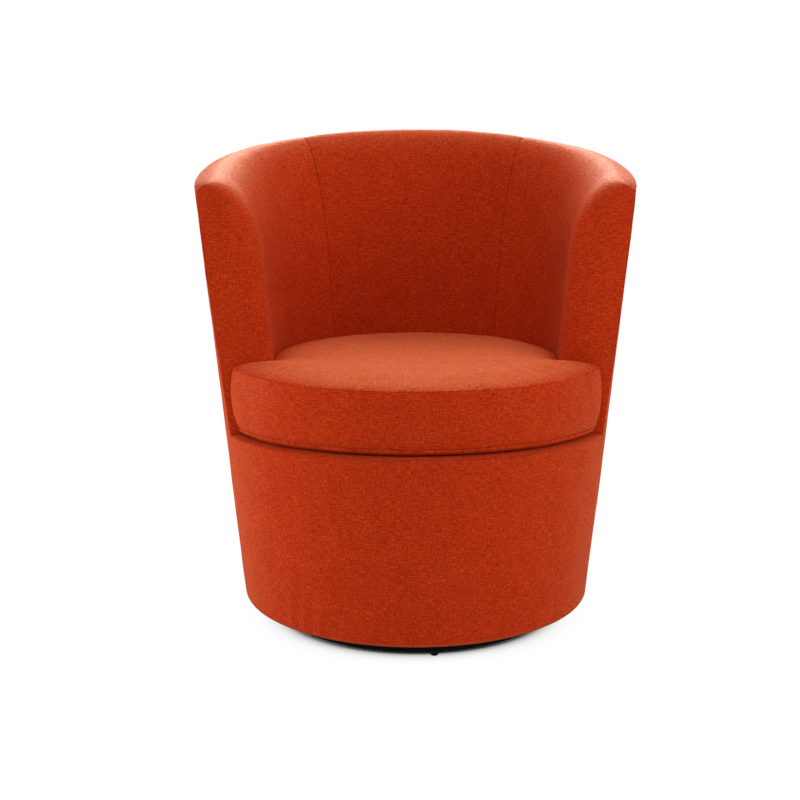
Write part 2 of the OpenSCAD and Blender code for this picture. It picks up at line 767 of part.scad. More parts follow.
// Webbing over the seat ring: cross straps below and long straps above
STRAP_LAP = 19;
STRAP_GAP = 0.2;
strap_end_r = ring_hole_r + STRAP_LAP;
module straps(z) {
    for (k = [-1.5, -0.5, 0.5, 1.5])
        let (x = k * strap_pitch, half = sqrt(strap_end_r * strap_end_r - x * x))
        translate([x - strap_w / 2, -half, z]) cube([strap_w, 2 * half, strap_t]);
}
module webbing_cross() {
    color(BLACK) at_axis() rotate(90) straps(ring_h);
}
module webbing_long() {
    color(BLACK) at_axis() straps(ring_h + strap_t + STRAP_GAP);
}

// Frame of the tub
RAIL_SETBACK = 25;
rail_w = pad_over + RAIL_SETBACK;
rail_low_drop = rail_drop + rail_h;
module back_post(i) {
    middle = [ARM_N / 2, ARM_N, ARM_N + BACK_N / 2, ARM_N + BACK_N, WALL_N - ARM_N / 2][i - 1];
    function side(inset) =
        [for (s = [middle - 1:middle + 1]) tub_rows(s, inset, rail_w, ring_h, rail_low_drop + slack)];
    color(PLY) at_axis() slab(side(frame_in), side(frame_in + frame_t));
}
POST_SAG = 0.9;
function arm_post_rows(w, inset) =
    let (s = [1, 0, 1, 90], rim = station_rim(s, w))
    [
        for (j = [0:WALL_ROWS])
            let (z = mix(ring_h, rim - rail_low_drop - 2 * slack, j / WALL_ROWS), r = wall_r(z) - inset)
            place(az_at(front_y(z) + w, r), r, z)
    ];
module arm_post(side) {
    ends = [rail_w + arm_post_w, rail_w];
    color(PLY)
        at_axis()
            mirror([side > 0 ? 0 : 1, 0, 0])
                slab(
                    [for (w = ends) arm_post_rows(w, frame_in)],
                    [for (w = ends) arm_post_rows(w, frame_in + frame_t - POST_SAG)]
                );
}
module top_rail() {
    function side(inset) = [
        for (i = [0:WALL_N])
            let (rim = rim_z(i, rail_w))
            [
                for (z = [rim - rail_low_drop, rim - rail_drop])
                    let (r = wall_r(z) - inset) place(wall_az(i, z, r, rail_w), r, z)
            ]
    ];
    color(PLY) at_axis() slab(side(frame_in), side(frame_in + frame_t));
}
outer_w = pad_over + 2 * slack;
module tub_board() {
    drop = pad_over + slack;
    color(HARDBOARD)
        at_axis()
            slab(
                tub_layer(board_in, outer_w, tub_low, drop),
                tub_layer(board_in + board_t, outer_w, tub_low, drop)
            );
}
module tub_wadding() {
    drop = pad_over + slack;
    color(FELT)
        at_axis()
            slab(
                tub_layer(wadding_in, outer_w, tub_low, drop),
                tub_layer(wadding_in + wadding_t, outer_w, tub_low, drop)
            );
}
module inner_back_board() {
    color(HARDBOARD) at_axis() inner_board(back_stations);
}
module inner_arm_board(side) {
    color(HARDBOARD) at_axis() inner_board(arm_stations(side));
}

// Padding
module back_pad() {
    color(FOAM) at_axis() pad(back_stations);
}
module arm_pad(side) {
    color(FOAM) at_axis() pad(arm_stations(side));
}
DECK_SIDE = 10;
deck_low = ring_h + 2 * strap_t + STRAP_GAP + slack;
deck_ease = 2 * slack;
module deck_pad() {
    low = deck_low;
    rings = [
        [-DECK_SIDE - edge_drop, cushion_gap + deck_ease, core_in + 2 * deck_ease, 0],
        [-core_in - edge_drop - 3 * deck_ease, cushion_gap + deck_ease, core_in + 2 * deck_ease, 0],
        [-core_in, cushion_gap + deck_ease, core_in + 2 * deck_ease, 2 * ledge_round]
    ];
    upper = seat_grid(rings, 0);
    n = seat_count(0);
    function foot(i) =
        let (
            k = i <= n ? i : 2 * n - i,
            p = seat_xy(k, low, cushion_gap + deck_ease, core_in + 2 * deck_ease, 0)
        )
        [(i <= n ? 1 : -1) * stretch * p[0], p[1], low];
    color(FOAM)
        at_axis()
            lump(
                [for (i = [0:2 * n - 1]) concat([foot(i)], upper[i])],
                [SEAT_MIDDLE[0], SEAT_MIDDLE[1], low],
                seat_pole(-core_in)
            );
}

// Covers
module outer_cover() {
    function lower(i, t) =
        let (r = drum_edge_r, az = drum_az(i), z0 = cover_low + r)
        concat(
            [place(az, wall_r(cover_low) - turn_under, cover_low + t)],
            [
                for (a = [0, 45, 90])
                    let (z = z0 - (r - t) * cos(a))
                    place(az, wall_r(z) - r + (r - t) * sin(a), z)
            ]
        );
    function upper(i, t) =
        i > WALL_N
            ? let (z = edge_z(drum_az(i)) - t)
                concat([place(drum_az(i), wall_r(z) - t, z)], [for (j = [1:WALL_ROWS]) [0, 0, 0]])
            : tub_rows(i, t, t + SEAM_GAP, side_edge_h - t, t + SEAM_GAP);
    columns = [for (t = [0, cover_t]) [for (i = [0:DRUM_N - 1]) concat(lower(i, t), upper(i, t))]];
    color(FABRIC)
        at_axis()
            slab(
                columns[0],
                columns[1],
                closed = true,
                mask = [for (i = [0:DRUM_N - 1]) [for (j = [0:3 + WALL_ROWS]) j < 4 || i < WALL_N]]
            );
}
module back_cover() {
    color(FABRIC) at_axis() inner_cover(back_stations);
}
module arm_cover(side) {
    color(FABRIC) at_axis() inner_cover(arm_stations(side));
}
module ledge_cover() {
    color(FABRIC) at_axis() deck_part(true);
}
module platform_cloth() {
    color(BLACK) at_axis() deck_part(false);
}
DUST_T = 0.8;
DUST_IN = 16;
DUST_CLEAR = 8;
dust_hole_r = plate_w * PLATE_CORNER + DUST_CLEAR;
dust_low = cover_low - DUST_T - BASE_EASE;
module dust_cover() {
    color(BLACK)
        at_axis()
            translate([0, 0, dust_low])
                linear_extrude(DUST_T)
                    difference() {
                        board_outline(cover_low, DUST_IN);
                        circle(r = dust_hole_r);
                    }
}
STAPLE = [10, 1.2, 0.6];
STAPLE_N = 24;
STAPLE_IN = 12;
module cover_staples() {
    r = wall_r(cover_low) - turn_under + STAPLE_IN;
    color(STEEL)
        at_axis()
            for (i = [1:STAPLE_N])
                rotate(-360 * (i - 0.5) / STAPLE_N)
                    translate([-STAPLE[0] / 2, r, dust_low - STAPLE[2]])
                        cube(STAPLE);
}

// Loose cushion
CORE_EASE = 0.5;
module cushion_core() {
    high = cushion_t - core_in - CORE_EASE;
    inner = core_in + CORE_EASE;
    rings = [
        cushion_ring(cushion_foot + core_in, FOOT_BULGE, cushion_round, core_in),
        cushion_ring(cushion_foot + cushion_round, EDGE_BULGE, 0, inner),
        cushion_ring(high - CORE_EASE, SEAM_BULGE, 2 * CORE_EASE, inner),
        for (q = [CROWN_ROWS[1], CROWN_ROWS[3]])
            cushion_ring(high + cushion_crown * q[0], SEAM_BULGE, cushion_r * q[1], core_in)
    ];
    color(FOAM)
        at_axis()
            lump(
                seat_grid(rings, ear_r),
                seat_pole(cushion_foot + core_in),
                seat_pole(cushion_t + cushion_crown - core_in)
            );
}
module cushion_top() {
    color(FABRIC)
        at_axis()
            slab(
                closed_at(seat_grid(top_rings(0), ear_r), seat_pole(cushion_t + cushion_crown), false),
                closed_at(
                    seat_grid(top_rings(cover_t), ear_r),
                    seat_pole(cushion_t + cushion_crown - cover_t),
                    false
                ),
                closed = true
            );
}
module cushion_border() {
    color(FABRIC) at_axis() border_part(false);
}
module cushion_zip() {
    color(BLACK) at_axis() border_part(true);
}
module cushion_base() {
    color(FABRIC)
        at_axis()
            slab(
                closed_at(seat_grid(base_rings(0), ear_r), seat_pole(cushion_foot), true),
                closed_at(seat_grid(base_rings(cover_t), ear_r), seat_pole(cushion_foot + cover_t), true),
                closed = true
            );
}

for (i = [1:glide_n]) glide(i);
base_board();
lower_plate();
lower_screws();
pivot_rivet();
ball_cage();
bearing_balls();
upper_plate();
upper_bolts();
tee_nuts();
bottom_board();
for (i = [1:DRUM_POSTS]) drum_post(i);
seat_ring();
drum_board();
drum_wadding();
webbing_long();
webbing_cross();
for (i = [1:BACK_POSTS]) back_post(i);
arm_post(-1);  // arm_post_left
arm_post(1);  // arm_post_right
top_rail();
tub_board();
tub_wadding();
inner_back_board();
inner_arm_board(-1);  // inner_arm_board_left
inner_arm_board(1);  // inner_arm_board_right
back_pad();
arm_pad(-1);  // arm_pad_left
arm_pad(1);  // arm_pad_right
deck_pad();
outer_cover();
back_cover();
arm_cover(-1);  // arm_cover_left
arm_cover(1);  // arm_cover_right
ledge_cover();
platform_cloth();
dust_cover();
cover_staples();
cushion_core();
cushion_top();
cushion_border();
cushion_base();
cushion_zip();
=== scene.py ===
import bpy
import math
import numpy as np
from mathutils import Matrix, Vector, kdtree, noise


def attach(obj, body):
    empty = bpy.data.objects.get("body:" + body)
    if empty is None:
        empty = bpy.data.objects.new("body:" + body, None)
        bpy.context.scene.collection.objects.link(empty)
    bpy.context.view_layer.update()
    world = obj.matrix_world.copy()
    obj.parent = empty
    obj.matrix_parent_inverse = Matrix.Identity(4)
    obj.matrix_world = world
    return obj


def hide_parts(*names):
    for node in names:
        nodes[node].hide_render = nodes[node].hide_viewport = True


# Upholstered tub swivel chair: the soft pieces, finishes, camera and light round the CAD frame.
# Everything is in metres, and a direction round the chair is an angle from the middle of the back.
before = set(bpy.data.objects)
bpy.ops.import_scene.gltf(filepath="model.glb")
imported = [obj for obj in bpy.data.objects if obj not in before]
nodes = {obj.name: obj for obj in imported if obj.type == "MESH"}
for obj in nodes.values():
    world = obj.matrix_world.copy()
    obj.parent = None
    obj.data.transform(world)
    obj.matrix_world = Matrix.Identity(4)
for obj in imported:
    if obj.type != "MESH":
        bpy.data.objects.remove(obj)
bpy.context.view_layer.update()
print("frame loaded:", len(nodes), "nodes")


# Camera, from a fit of the rim, the silhouette, the drum's foot and the base board in the photograph
view = {
    "distance": 2.4731,
    "height": 0.9271,
    "tilt": 77.716,
    "focalPixels": 1401.943,
    "centreX": 415.887,
    "imageWidth": 800,
    "sensorWidth": 36,
    "orbit": -0.8,
}


def makeCamera():
    data = bpy.data.cameras.new("camera")
    data.sensor_width = view["sensorWidth"]
    data.lens = view["focalPixels"] / view["imageWidth"] * data.sensor_width
    data.shift_x = 0.5 - view["centreX"] / view["imageWidth"]
    camera = linkedObject("camera", data)
    axis = Matrix.Translation((0, tub["axisY"], 0))
    orbit = Matrix.Rotation(math.radians(view["orbit"]), 4, "Z")
    stand = Matrix.Translation((0, -view["distance"], view["height"]))
    tilt = Matrix.Rotation(math.radians(view["tilt"]), 4, "X")
    camera.matrix_world = axis @ orbit @ axis.inverted() @ stand @ tilt
    bpy.context.scene.camera = camera


# Form of the tub, as the CAD has it
tub = {
    "height": 0.860,
    "width": 0.760,
    "depth": 0.710,
    "flare": 5.3,
    "rimTilt": 11.2,
    "backThick": 0.074,
    "armThick": 0.096,
    "backRoll": 0.270,
    "armRoll": 0.100,
    "backCrest": 0.001,
    "armCrest": 0.012,
    "backPeak": 0.06,
    "armPeak": 0.33,
    "armFront": 0.110,
    "armLean": 6.9,
    "armCorner": 0.070,
    "seamAngle": math.radians(34),
    "rollPower": 1.11,
    "cornerPower": 0.667,
    "deckHeight": 0.371,
    "seatPitch": 3.0,
    "edgeDrop": 0.005,
    "ringHeight": 0.318,
    "coverLow": 0.0432,
    "lowerEdge": 0.010,
    "turnUnder": 0.045,
    "settleRounds": 6,
}


def slope(degrees):
    return math.tan(math.radians(degrees))


tub["rimHeight"] = tub["height"] - tub["backCrest"]
tub["edgeHeight"] = tub["deckHeight"] - tub["edgeDrop"]
tub["rimRadius"] = (tub["depth"] + slope(tub["flare"]) * (tub["rimHeight"] - tub["edgeHeight"])) / 2


def wallRadius(z):
    return tub["rimRadius"] - slope(tub["flare"]) * (tub["rimHeight"] - z)


def rimAt(y):
    return tub["rimHeight"] - slope(tub["rimTilt"]) * (tub["rimRadius"] - y)


tub["edgeRadius"] = wallRadius(tub["edgeHeight"])
tub["stretch"] = tub["width"] / 2 / wallRadius(rimAt(0))
tub["axisY"] = (tub["edgeRadius"] - tub["rimRadius"]) / 2


def place(angle, r, z):
    # The plan is a circle stretched a little along X
    angle, r, z = np.broadcast_arrays(angle, r, z)
    return np.stack([tub["stretch"] * r * np.sin(angle), r * np.cos(angle) + tub["axisY"], z], -1)


def angleAt(y, r):
    return np.arccos(np.clip(y / r, -1, 1))


def deckZ(y):
    return tub["deckHeight"] - slope(tub["seatPitch"]) * (y + tub["edgeRadius"])


def frontY(z):
    return -tub["armFront"] + slope(tub["armLean"]) * (z - tub["deckHeight"])


def edgeZ(angle):
    # Height of the ledge seam on the drum
    z = tub["edgeHeight"]
    for i in range(tub["settleRounds"] // 2):
        z = deckZ(wallRadius(z) * np.cos(angle)) - tub["edgeDrop"]
    return z


tub["sideEdge"] = deckZ(-tub["armFront"]) - tub["edgeDrop"]
tub["drumEnd"] = float(angleAt(frontY(tub["ringHeight"]), wallRadius(tub["ringHeight"])))


def mix(a, b, t):
    return a + (b - a) * t


def smooth(t):
    return t * t * (3 - 2 * t)


# Sewing: how a cover rolls into its seams, and how far its cloth puckers there
sewing = {
    "radius": 0.0025,
    "start": 0.0001,
    "frontStart": 0.00075,
    "reach": 0.05,
    "sample": 0.001,
    "noiseShift": (1, 0.37, -0.61),
    "sink": 0.0012,
    "sinkWidth": 0.011,
    "pucker": 0.0004,
    "puckerWidth": 0.016,
    "puckerPitch": 0.017,
    "puckerSeed": 1.7,
    "rimRadius": 0.0010,
    "rimSink": 0.0001,
    "rimPucker": 0.0003,
    "sideSink": 0.0003,
    "steps": [0.0, 0.0005, 0.0011, 0.0018, 0.0026, 0.0042, 0.0068],
    "allowance": 0.010,
    "leastCutShare": 0.301,
}


def spaced(length, step, seamFirst=True, seamLast=True, start=0.0, stop=0.0):
    # Places from 0 to 1 along a length, closer together towards a seam
    first = [start + s for s in sewing["steps"]] if seamFirst else [start]
    last = [length - stop - s for s in reversed(sewing["steps"])] if seamLast else [length - stop]
    count = max(2, round((last[0] - first[-1]) / step))
    middle = [first[-1] + (last[0] - first[-1]) * i / count for i in range(1, count)]
    return np.array(first + middle + last) / length


def unit(vectors):
    return vectors / np.maximum(np.linalg.norm(vectors, axis=-1, keepdims=True), 1e-12)


def gridNormals(points, closed=False):
    # Normals of a grid of points, pointing where its columns crossed with its rows point
    if closed:
        across = np.roll(points, -1, 0) - np.roll(points, 1, 0)
    else:
        across = np.gradient(points, axis=0)
    return unit(np.cross(across, np.gradient(points, axis=1)))


def closedRound(grid):
    return np.concatenate([grid, grid[:1]])


def withPole(grid, pole, last=True):
    # Closes a grid round, and at one end with a row of points that all lie at its middle
    grid = closedRound(grid)
    middle = np.broadcast_to(np.array(pole, float), (len(grid), 1, 3))
    return np.concatenate([grid, middle] if last else [middle, grid], 1)


def wobble(points, size, seed):
    # Smooth noise that changes over the given size
    flat = points.reshape(-1, 3)
    offset = Vector([seed * part for part in sewing["noiseShift"]])
    found = [noise.noise(Vector(p) / size + offset) for p in flat]
    return np.array(found).reshape(points.shape[:-1])


def alongLine(line):
    steps = np.linalg.norm(np.diff(line, axis=0), axis=1)
    return np.concatenate([[0], np.cumsum(steps)])


def lengthOf(line):
    return float(alongLine(line)[-1])


def pointsAlong(line, at):
    s = alongLine(line)
    return np.stack([np.interp(at, s, line[:, k]) for k in range(3)], -1)


def unevenness(points, waves):
    # Height of a cover's waves, each given by its height, size and seed
    return sum(height * wobble(points, size, seed) for height, size, seed in waves)


def seamDistance(points, lines, reach=sewing["reach"]):
    # Each point's distance from the nearest seam, and the place of that seam point
    samples = np.concatenate([pointsAlong(line, np.arange(0, lengthOf(line), sewing["sample"])) for line in lines])
    tree = kdtree.KDTree(len(samples))
    for i, p in enumerate(samples):
        tree.insert(p, i)
    tree.balance()
    flat = points.reshape(-1, 3)
    far, nearest = np.full(len(flat), reach), flat.copy()
    for i, p in enumerate(flat):
        index, distance = tree.find(p)[1:]
        if distance < reach:
            far[i], nearest[i] = distance, samples[index]
    return far.reshape(points.shape[:-1]), nearest.reshape(points.shape)


def sew(points, normals, lines, radius=sewing["radius"], sink=sewing["sink"], pucker=sewing["pucker"]):
    # Rolls a cover down into its seams, with a shallow hollow and puckers beside them. The puckers follow the
    # seam's place, so that the covers on both sides of it agree
    far, nearest = seamDistance(points, lines)
    inside = np.clip(radius - far, 0, radius)
    dip = radius - np.sqrt(radius * radius - inside * inside)
    hollow = sink * np.exp(-far / sewing["sinkWidth"])
    near = far < sewing["reach"] - sewing["sample"]
    waves = np.zeros(far.shape)
    waves[near] = wobble(nearest[near], sewing["puckerPitch"], sewing["puckerSeed"])
    folds = pucker * np.exp(-far / sewing["puckerWidth"]) * waves
    return points - normals * (dip + hollow + folds)[..., None]


def setAll(thing, settings):
    for key, value in settings.items():
        setattr(thing, key, value)


def linkedObject(name, data):
    piece = bpy.data.objects.new(name, data)
    bpy.context.scene.collection.objects.link(piece)
    return piece


def selectOnly(*pieces):
    bpy.ops.object.select_all(action="DESELECT")
    for piece in pieces:
        piece.select_set(True)
    bpy.context.view_layer.objects.active = pieces[0]


def joined(name, pieces):
    selectOnly(*pieces)
    bpy.ops.object.join()
    pieces[0].name = pieces[0].data.name = name
    return pieces[0]


def smoothFaces(mesh):
    for polygon in mesh.polygons:
        polygon.use_smooth = True


def editAll(piece, operation, **settings):
    # One editing operation on the whole mesh
    selectOnly(piece)
    bpy.ops.object.mode_set(mode="EDIT")
    bpy.ops.mesh.select_all(action="SELECT")
    operation(**settings)
    bpy.ops.object.mode_set(mode="OBJECT")


def weld(piece, distance=0.00002):
    editAll(piece, bpy.ops.mesh.remove_doubles, threshold=distance)


def faceUp(piece, up=True):
    # Turns a flat piece's faces to one side
    if (sum(p.normal.z * p.area for p in piece.data.polygons) > 0) != up:
        editAll(piece, bpy.ops.mesh.flip_normals)


def bentGrid(name, points, uv, closed=False):
    # A grid primitive whose points are bent into a sheet, with the cloth's own threads as its UV map
    columns, rows = points.shape[:2]
    bpy.ops.object.select_all(action="DESELECT")
    bpy.ops.mesh.primitive_grid_add(x_subdivisions=columns - 1, y_subdivisions=rows - 1, size=1)
    piece = bpy.context.active_object
    piece.name = piece.data.name = name
    mesh = piece.data
    mesh.vertices.foreach_set("co", points.transpose(1, 0, 2).astype(np.float32).ravel())
    setUV(mesh, uv.transpose(1, 0, 2).reshape(-1, 2))
    if closed:
        weld(piece)
    smoothFaces(mesh)
    mesh.update()
    return piece


def setUV(mesh, uv):
    layer = mesh.uv_layers.active or mesh.uv_layers.new(name="threads")
    layer.name = "threads"
    loops = np.zeros(len(mesh.loops), np.int32)
    mesh.loops.foreach_get("vertex_index", loops)
    layer.data.foreach_set("uv", uv[loops].astype(np.float32).ravel())


def applyModifier(piece, kind, **settings):
    selectOnly(piece)
    modifier = piece.modifiers.new(kind.lower(), kind)
    setAll(modifier, settings)
    bpy.ops.object.modifier_apply(modifier=modifier.name)


def giveThickness(piece, thickness):
    # The sheet keeps its face and grows behind it
    applyModifier(piece, "SOLIDIFY", thickness=thickness, offset=-1, use_even_offset=False, use_rim=True)


def finishPiece(piece, body, material, replaces):
    piece.data.materials.clear()
    piece.data.materials.append(material)
    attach(piece, body)
    if replaces:
        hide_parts(*replaces)


def areaOf(points):
    # Area of a grid of points
    a = points[1:, :-1] - points[:-1, :-1]
    b = points[:-1, 1:] - points[:-1, :-1]
    return float(np.linalg.norm(np.cross(a, b), axis=-1).sum())


def declareSheet(piece, wide, long, area, restsOn):
    # The cut is the cloth's own size with a seam allowance all round
    wide, long = (round(float(side) + 2 * sewing["allowance"], 3) for side in (wide, long))
    area = min(max(area, sewing["leastCutShare"] * wide * long), wide * long)


def flatSize(grid):
    return (grid.max((0, 1)) - grid.min((0, 1)))[:2]


def meshPiece(name, points, faces):
    mesh = bpy.data.meshes.new(name)
    mesh.from_pydata([tuple(p) for p in points], [], faces)
    mesh.validate()
    smoothFaces(mesh)
    return linkedObject(name, mesh)


def closedLump(name, grid, low, top):
    # Mesh of rings that close round, with a pole at each end
    columns, rows = grid.shape[:2]
    count = columns * rows
    faces = []
    for i in range(columns):
        a, b = i * rows, (i + 1) % columns * rows
        faces += [(b + j, a + j, a + j + 1, b + j + 1) for j in range(rows - 1)]
        faces += [(a, b, count), (b + rows - 1, a + rows - 1, count + 1)]
    return meshPiece(name, np.concatenate([grid.reshape(-1, 3), [low, top]]), faces)


def closedShell(name, face, back):
    # Solid between a face and its back, two grids of as many points, closed round their four edges
    columns, rows = face.shape[:2]
    count = columns * rows
    at = np.arange(count).reshape(columns, rows)
    quads = np.stack([at[:-1, :-1], at[1:, :-1], at[1:, 1:], at[:-1, 1:]], -1).reshape(-1, 4)
    edge = np.concatenate([at[:-1, 0], at[-1, :-1], at[:0:-1, -1], at[0, :0:-1]])
    after = np.roll(edge, -1)
    sides = np.stack([after, edge, edge + count, after + count], -1)
    faces = np.concatenate([quads, quads[:, ::-1] + count, sides]).tolist()
    return meshPiece(name, np.concatenate([face.reshape(-1, 3), back.reshape(-1, 3)]), faces)


def smoothByAngle(piece, degrees=40):
    selectOnly(piece)
    bpy.ops.object.shade_smooth_by_angle(angle=math.radians(degrees))


# Materials: two tones at their places on a ramp of noise, and a bump, unless a material has its own
finish = {
    "lowAt": 0.3,
    "highAt": 0.7,
    "bumpStrength": 0.6,
}


def toLinear(hexColour):
    # sRGB hex to the linear values that Blender's sockets take
    values = [int(hexColour[i:i + 2], 16) / 255 for i in (1, 3, 5)]
    return tuple(v / 12.92 if v <= 0.04045 else ((v + 0.055) / 1.055) ** 2.4 for v in values) + (1,)


def addNode(tree, kind, inputs=None, **settings):
    node = tree.nodes.new(kind)
    setAll(node, settings)
    for key, value in (inputs or {}).items():
        if isinstance(value, bpy.types.NodeSocket):
            tree.links.new(value, node.inputs[key])
        else:
            node.inputs[key].default_value = value
    return node


def newMaterial(name):
    material = bpy.data.materials.new(name)
    material.use_nodes = True
    material.node_tree.nodes.clear()
    return material, material.node_tree


def maths(tree, operation, *values, **settings):
    return addNode(tree, "ShaderNodeMath", dict(enumerate(values)), operation=operation, **settings).outputs[0]


def noiseOf(tree, vector, scale, detail, roughness=0.5, dimensions="2D"):
    inputs = {"Vector": vector, "Scale": scale, "Detail": detail, "Roughness": roughness}
    return addNode(tree, "ShaderNodeTexNoise", inputs, noise_dimensions=dimensions).outputs[0]


def mapped(tree, value, source, target=(0, 1), kind="LINEAR"):
    inputs = {"Value": value, "From Min": source[0], "From Max": source[1], "To Min": target[0], "To Max": target[1]}
    return addNode(tree, "ShaderNodeMapRange", inputs, interpolation_type=kind).outputs[0]


def mixedValue(tree, share, a, b):
    return addNode(tree, "ShaderNodeMix", {0: share, 2: a, 3: b}, data_type="FLOAT").outputs[0]


def mixedColour(tree, share, a, b, kind="MIX"):
    return addNode(tree, "ShaderNodeMix", {0: share, 6: a, 7: b}, data_type="RGBA", blend_type=kind).outputs["Result"]


def mixedShader(tree, share, a, b):
    return addNode(tree, "ShaderNodeMixShader", {0: share, 1: a, 2: b}).outputs[0]


def bumped(tree, height, distance, strength=finish["bumpStrength"]):
    return addNode(tree, "ShaderNodeBump", {"Height": height, "Distance": distance, "Strength": strength}).outputs[0]


def ramped(tree, value, *stops):
    node = addNode(tree, "ShaderNodeValToRGB", {"Fac": value})
    elements = node.color_ramp.elements
    for i, (position, colour) in enumerate(stops):
        element = elements[i] if i < 2 else elements.new(position)
        element.position = position
        element.color = toLinear(colour)
    return node.outputs[0]


def finishedBy(tree, inputs):
    shader = addNode(tree, "ShaderNodeBsdfPrincipled", inputs)
    addNode(tree, "ShaderNodeOutputMaterial", {"Surface": shader.outputs[0]})


upholstery = {
    "threadPitch": 0.0019,
    "yarnLift": 0.6,
    "yarnCross": 0.4,
    "weftSlub": 0.012,
    "warpSlub": 0.008,
    "slubNoise": (1.0, 2.0, 0.6),
    "slubGain": (1.1, -0.05),
    "fleckNoise": (620.0, 3.0, 0.7),
    "fleckShare": 0.38,
    "cloudNoise": (26.0, 3.0),
    "cloudGain": (0.08, -0.04),
    "weaveGain": (0.26, -0.165),
    "deep": (0.28, "#8A1C0A"),
    "mid": (0.50, "#BE330F"),
    "light": (0.74, "#DF5324"),
    # Painted highlight: the paler colour painted on faces that look up, and the range of the normal's upward share
    # over which it comes in
    "paintedTopLight": "#CF542F",
    "paintedLightFrom": (0.35, 0.92),
    "speckFrom": (0.25, 0.75),
    "speckTo": (0.30, 1.50),
    "fuzz": "#FFC28A",
    "paleFuzz": "#FFD3BC",
    "brushedFrom": (0.30, 0.90),
    "haze": 0.19,
    "hazeFalloff": 4.0,
    "hazeRoughness": 0.5,
    "roughness": 0.95,
    "specular": 0.02,
    "sheen": 0.05,
    "sheenRoughness": 0.30,
    "bump": 0.0005,
    "bumpStrength": 0.75,
    "fleckBump": 0.5,
}


def wovenUpholstery(name, tone=1.0, paintedLightRange=upholstery["paintedLightFrom"], brushed=0.0):
    # Polyester upholstery cloth in a plain weave of heathered yarns, piece dyed and lightly brushed: matt, with
    # a pale haze of fibre ends at grazing angles. Faces that look up get a paler colour painted in, a painted
    # highlight for the light from above. Real yarns lie about 1 mm apart, which this picture can't show, so the
    # weave is drawn at about twice that.
    cloth = upholstery
    material, tree = newMaterial(name)
    threads = addNode(tree, "ShaderNodeUVMap", uv_map="threads").outputs[0]
    parts = addNode(tree, "ShaderNodeSeparateXYZ", {0: threads}).outputs
    pitch = cloth["threadPitch"]
    waves = [maths(tree, "SINE", maths(tree, "MULTIPLY", parts[axis], math.pi / pitch)) for axis in (0, 1)]
    over = maths(tree, "MULTIPLY", *waves)
    heights = []
    for wave, sign in zip(waves, (1, -1)):
        lift = maths(tree, "MULTIPLY_ADD", over, sign * cloth["yarnCross"], cloth["yarnLift"])
        heights.append(maths(tree, "MULTIPLY", maths(tree, "ABSOLUTE", wave), lift))
    weave = maths(tree, "MAXIMUM", *heights)
    warpUp = maths(tree, "GREATER_THAN", *heights)

    # Each yarn has its own slubs, long ways along it and a yarn wide
    slubs = []
    for scale in ((1 / cloth["weftSlub"], 1 / pitch, 1), (1 / pitch, 1 / cloth["warpSlub"], 1)):
        stretched = addNode(tree, "ShaderNodeMapping", {"Vector": threads, "Scale": scale}).outputs[0]
        slubs.append(noiseOf(tree, stretched, *cloth["slubNoise"]))
    slub = maths(tree, "MULTIPLY_ADD", mixedValue(tree, warpUp, *slubs), *cloth["slubGain"])
    flecks = noiseOf(tree, threads, *cloth["fleckNoise"])
    cloud = noiseOf(tree, threads, *cloth["cloudNoise"])
    heather = mixedValue(tree, cloth["fleckShare"], slub, flecks)
    for part, gain in ((cloud, cloth["cloudGain"]), (weave, cloth["weaveGain"])):
        heather = maths(tree, "ADD", heather, maths(tree, "MULTIPLY_ADD", part, *gain))

    # Dyed tones, and a paler tone painted on faces that look up: a painted highlight for the light from above
    dyed = ramped(tree, heather, cloth["deep"], cloth["mid"], cloth["light"])
    toned = addNode(tree, "ShaderNodeHueSaturation", {"Color": dyed, "Value": tone}).outputs[0]
    normal = addNode(tree, "ShaderNodeNewGeometry").outputs["Normal"]
    upward = addNode(tree, "ShaderNodeSeparateXYZ", {0: normal}).outputs[2]
    paintedTopLight = mapped(tree, upward, paintedLightRange, kind="SMOOTHSTEP")
    speck = mapped(tree, heather, cloth["speckFrom"], cloth["speckTo"])
    pale = mixedColour(tree, 1.0, toLinear(cloth["paintedTopLight"]), speck, "MULTIPLY")
    bump = bumped(tree, maths(tree, "MULTIPLY_ADD", flecks, cloth["fleckBump"], weave), cloth["bump"],
                  cloth["bumpStrength"])
    yarns = addNode(tree, "ShaderNodeBsdfPrincipled", {
        "Base Color": mixedColour(tree, paintedTopLight, toned, pale), "Roughness": cloth["roughness"],
        "Specular IOR Level": cloth["specular"], "Sheen Weight": cloth["sheen"],
        "Sheen Roughness": cloth["sheenRoughness"], "Sheen Tint": toLinear(cloth["fuzz"]), "Normal": bump})

    # The pile stands up, longer and paler, where brushed cloth turns over the arms and the back
    raised = mapped(tree, upward, cloth["brushedFrom"], kind="SMOOTHSTEP")
    tint = mixedColour(tree, raised, *(toLinear(cloth[fuzz]) for fuzz in ("fuzz", "paleFuzz" if brushed else "fuzz")))
    facing = addNode(tree, "ShaderNodeLayerWeight", {"Normal": bump}).outputs["Facing"]
    hairs = maths(tree, "MULTIPLY", speck, maths(tree, "MULTIPLY_ADD", raised, brushed, cloth["haze"]))
    share = maths(tree, "MULTIPLY", maths(tree, "POWER", facing, cloth["hazeFalloff"]), hairs, use_clamp=True)
    haze = addNode(tree, "ShaderNodeBsdfAnisotropic", {"Color": tint, "Roughness": cloth["hazeRoughness"]})
    surface = mixedShader(tree, share, yarns.outputs[0], haze.outputs[0])
    addNode(tree, "ShaderNodeOutputMaterial", {"Surface": surface})
    return material


coverCloth = wovenUpholstery("heatheredUpholsteryCloth", brushed=0.45)
backCloth = wovenUpholstery("heatheredUpholsteryClothBack", tone=0.95, brushed=0.20)
# On the cushion the painted highlight comes in only where the top lies flat
seatCloth = wovenUpholstery("heatheredUpholsteryClothSeat", paintedLightRange=(0.90, 0.998))
# The ledge gets no painted highlight, and its tone of 0.9 is painted shade, darker as it lies under the cushion's
# edge
ledgeCloth = wovenUpholstery("heatheredUpholsteryClothLedge", tone=0.9, paintedLightRange=(1.5, 2.0))


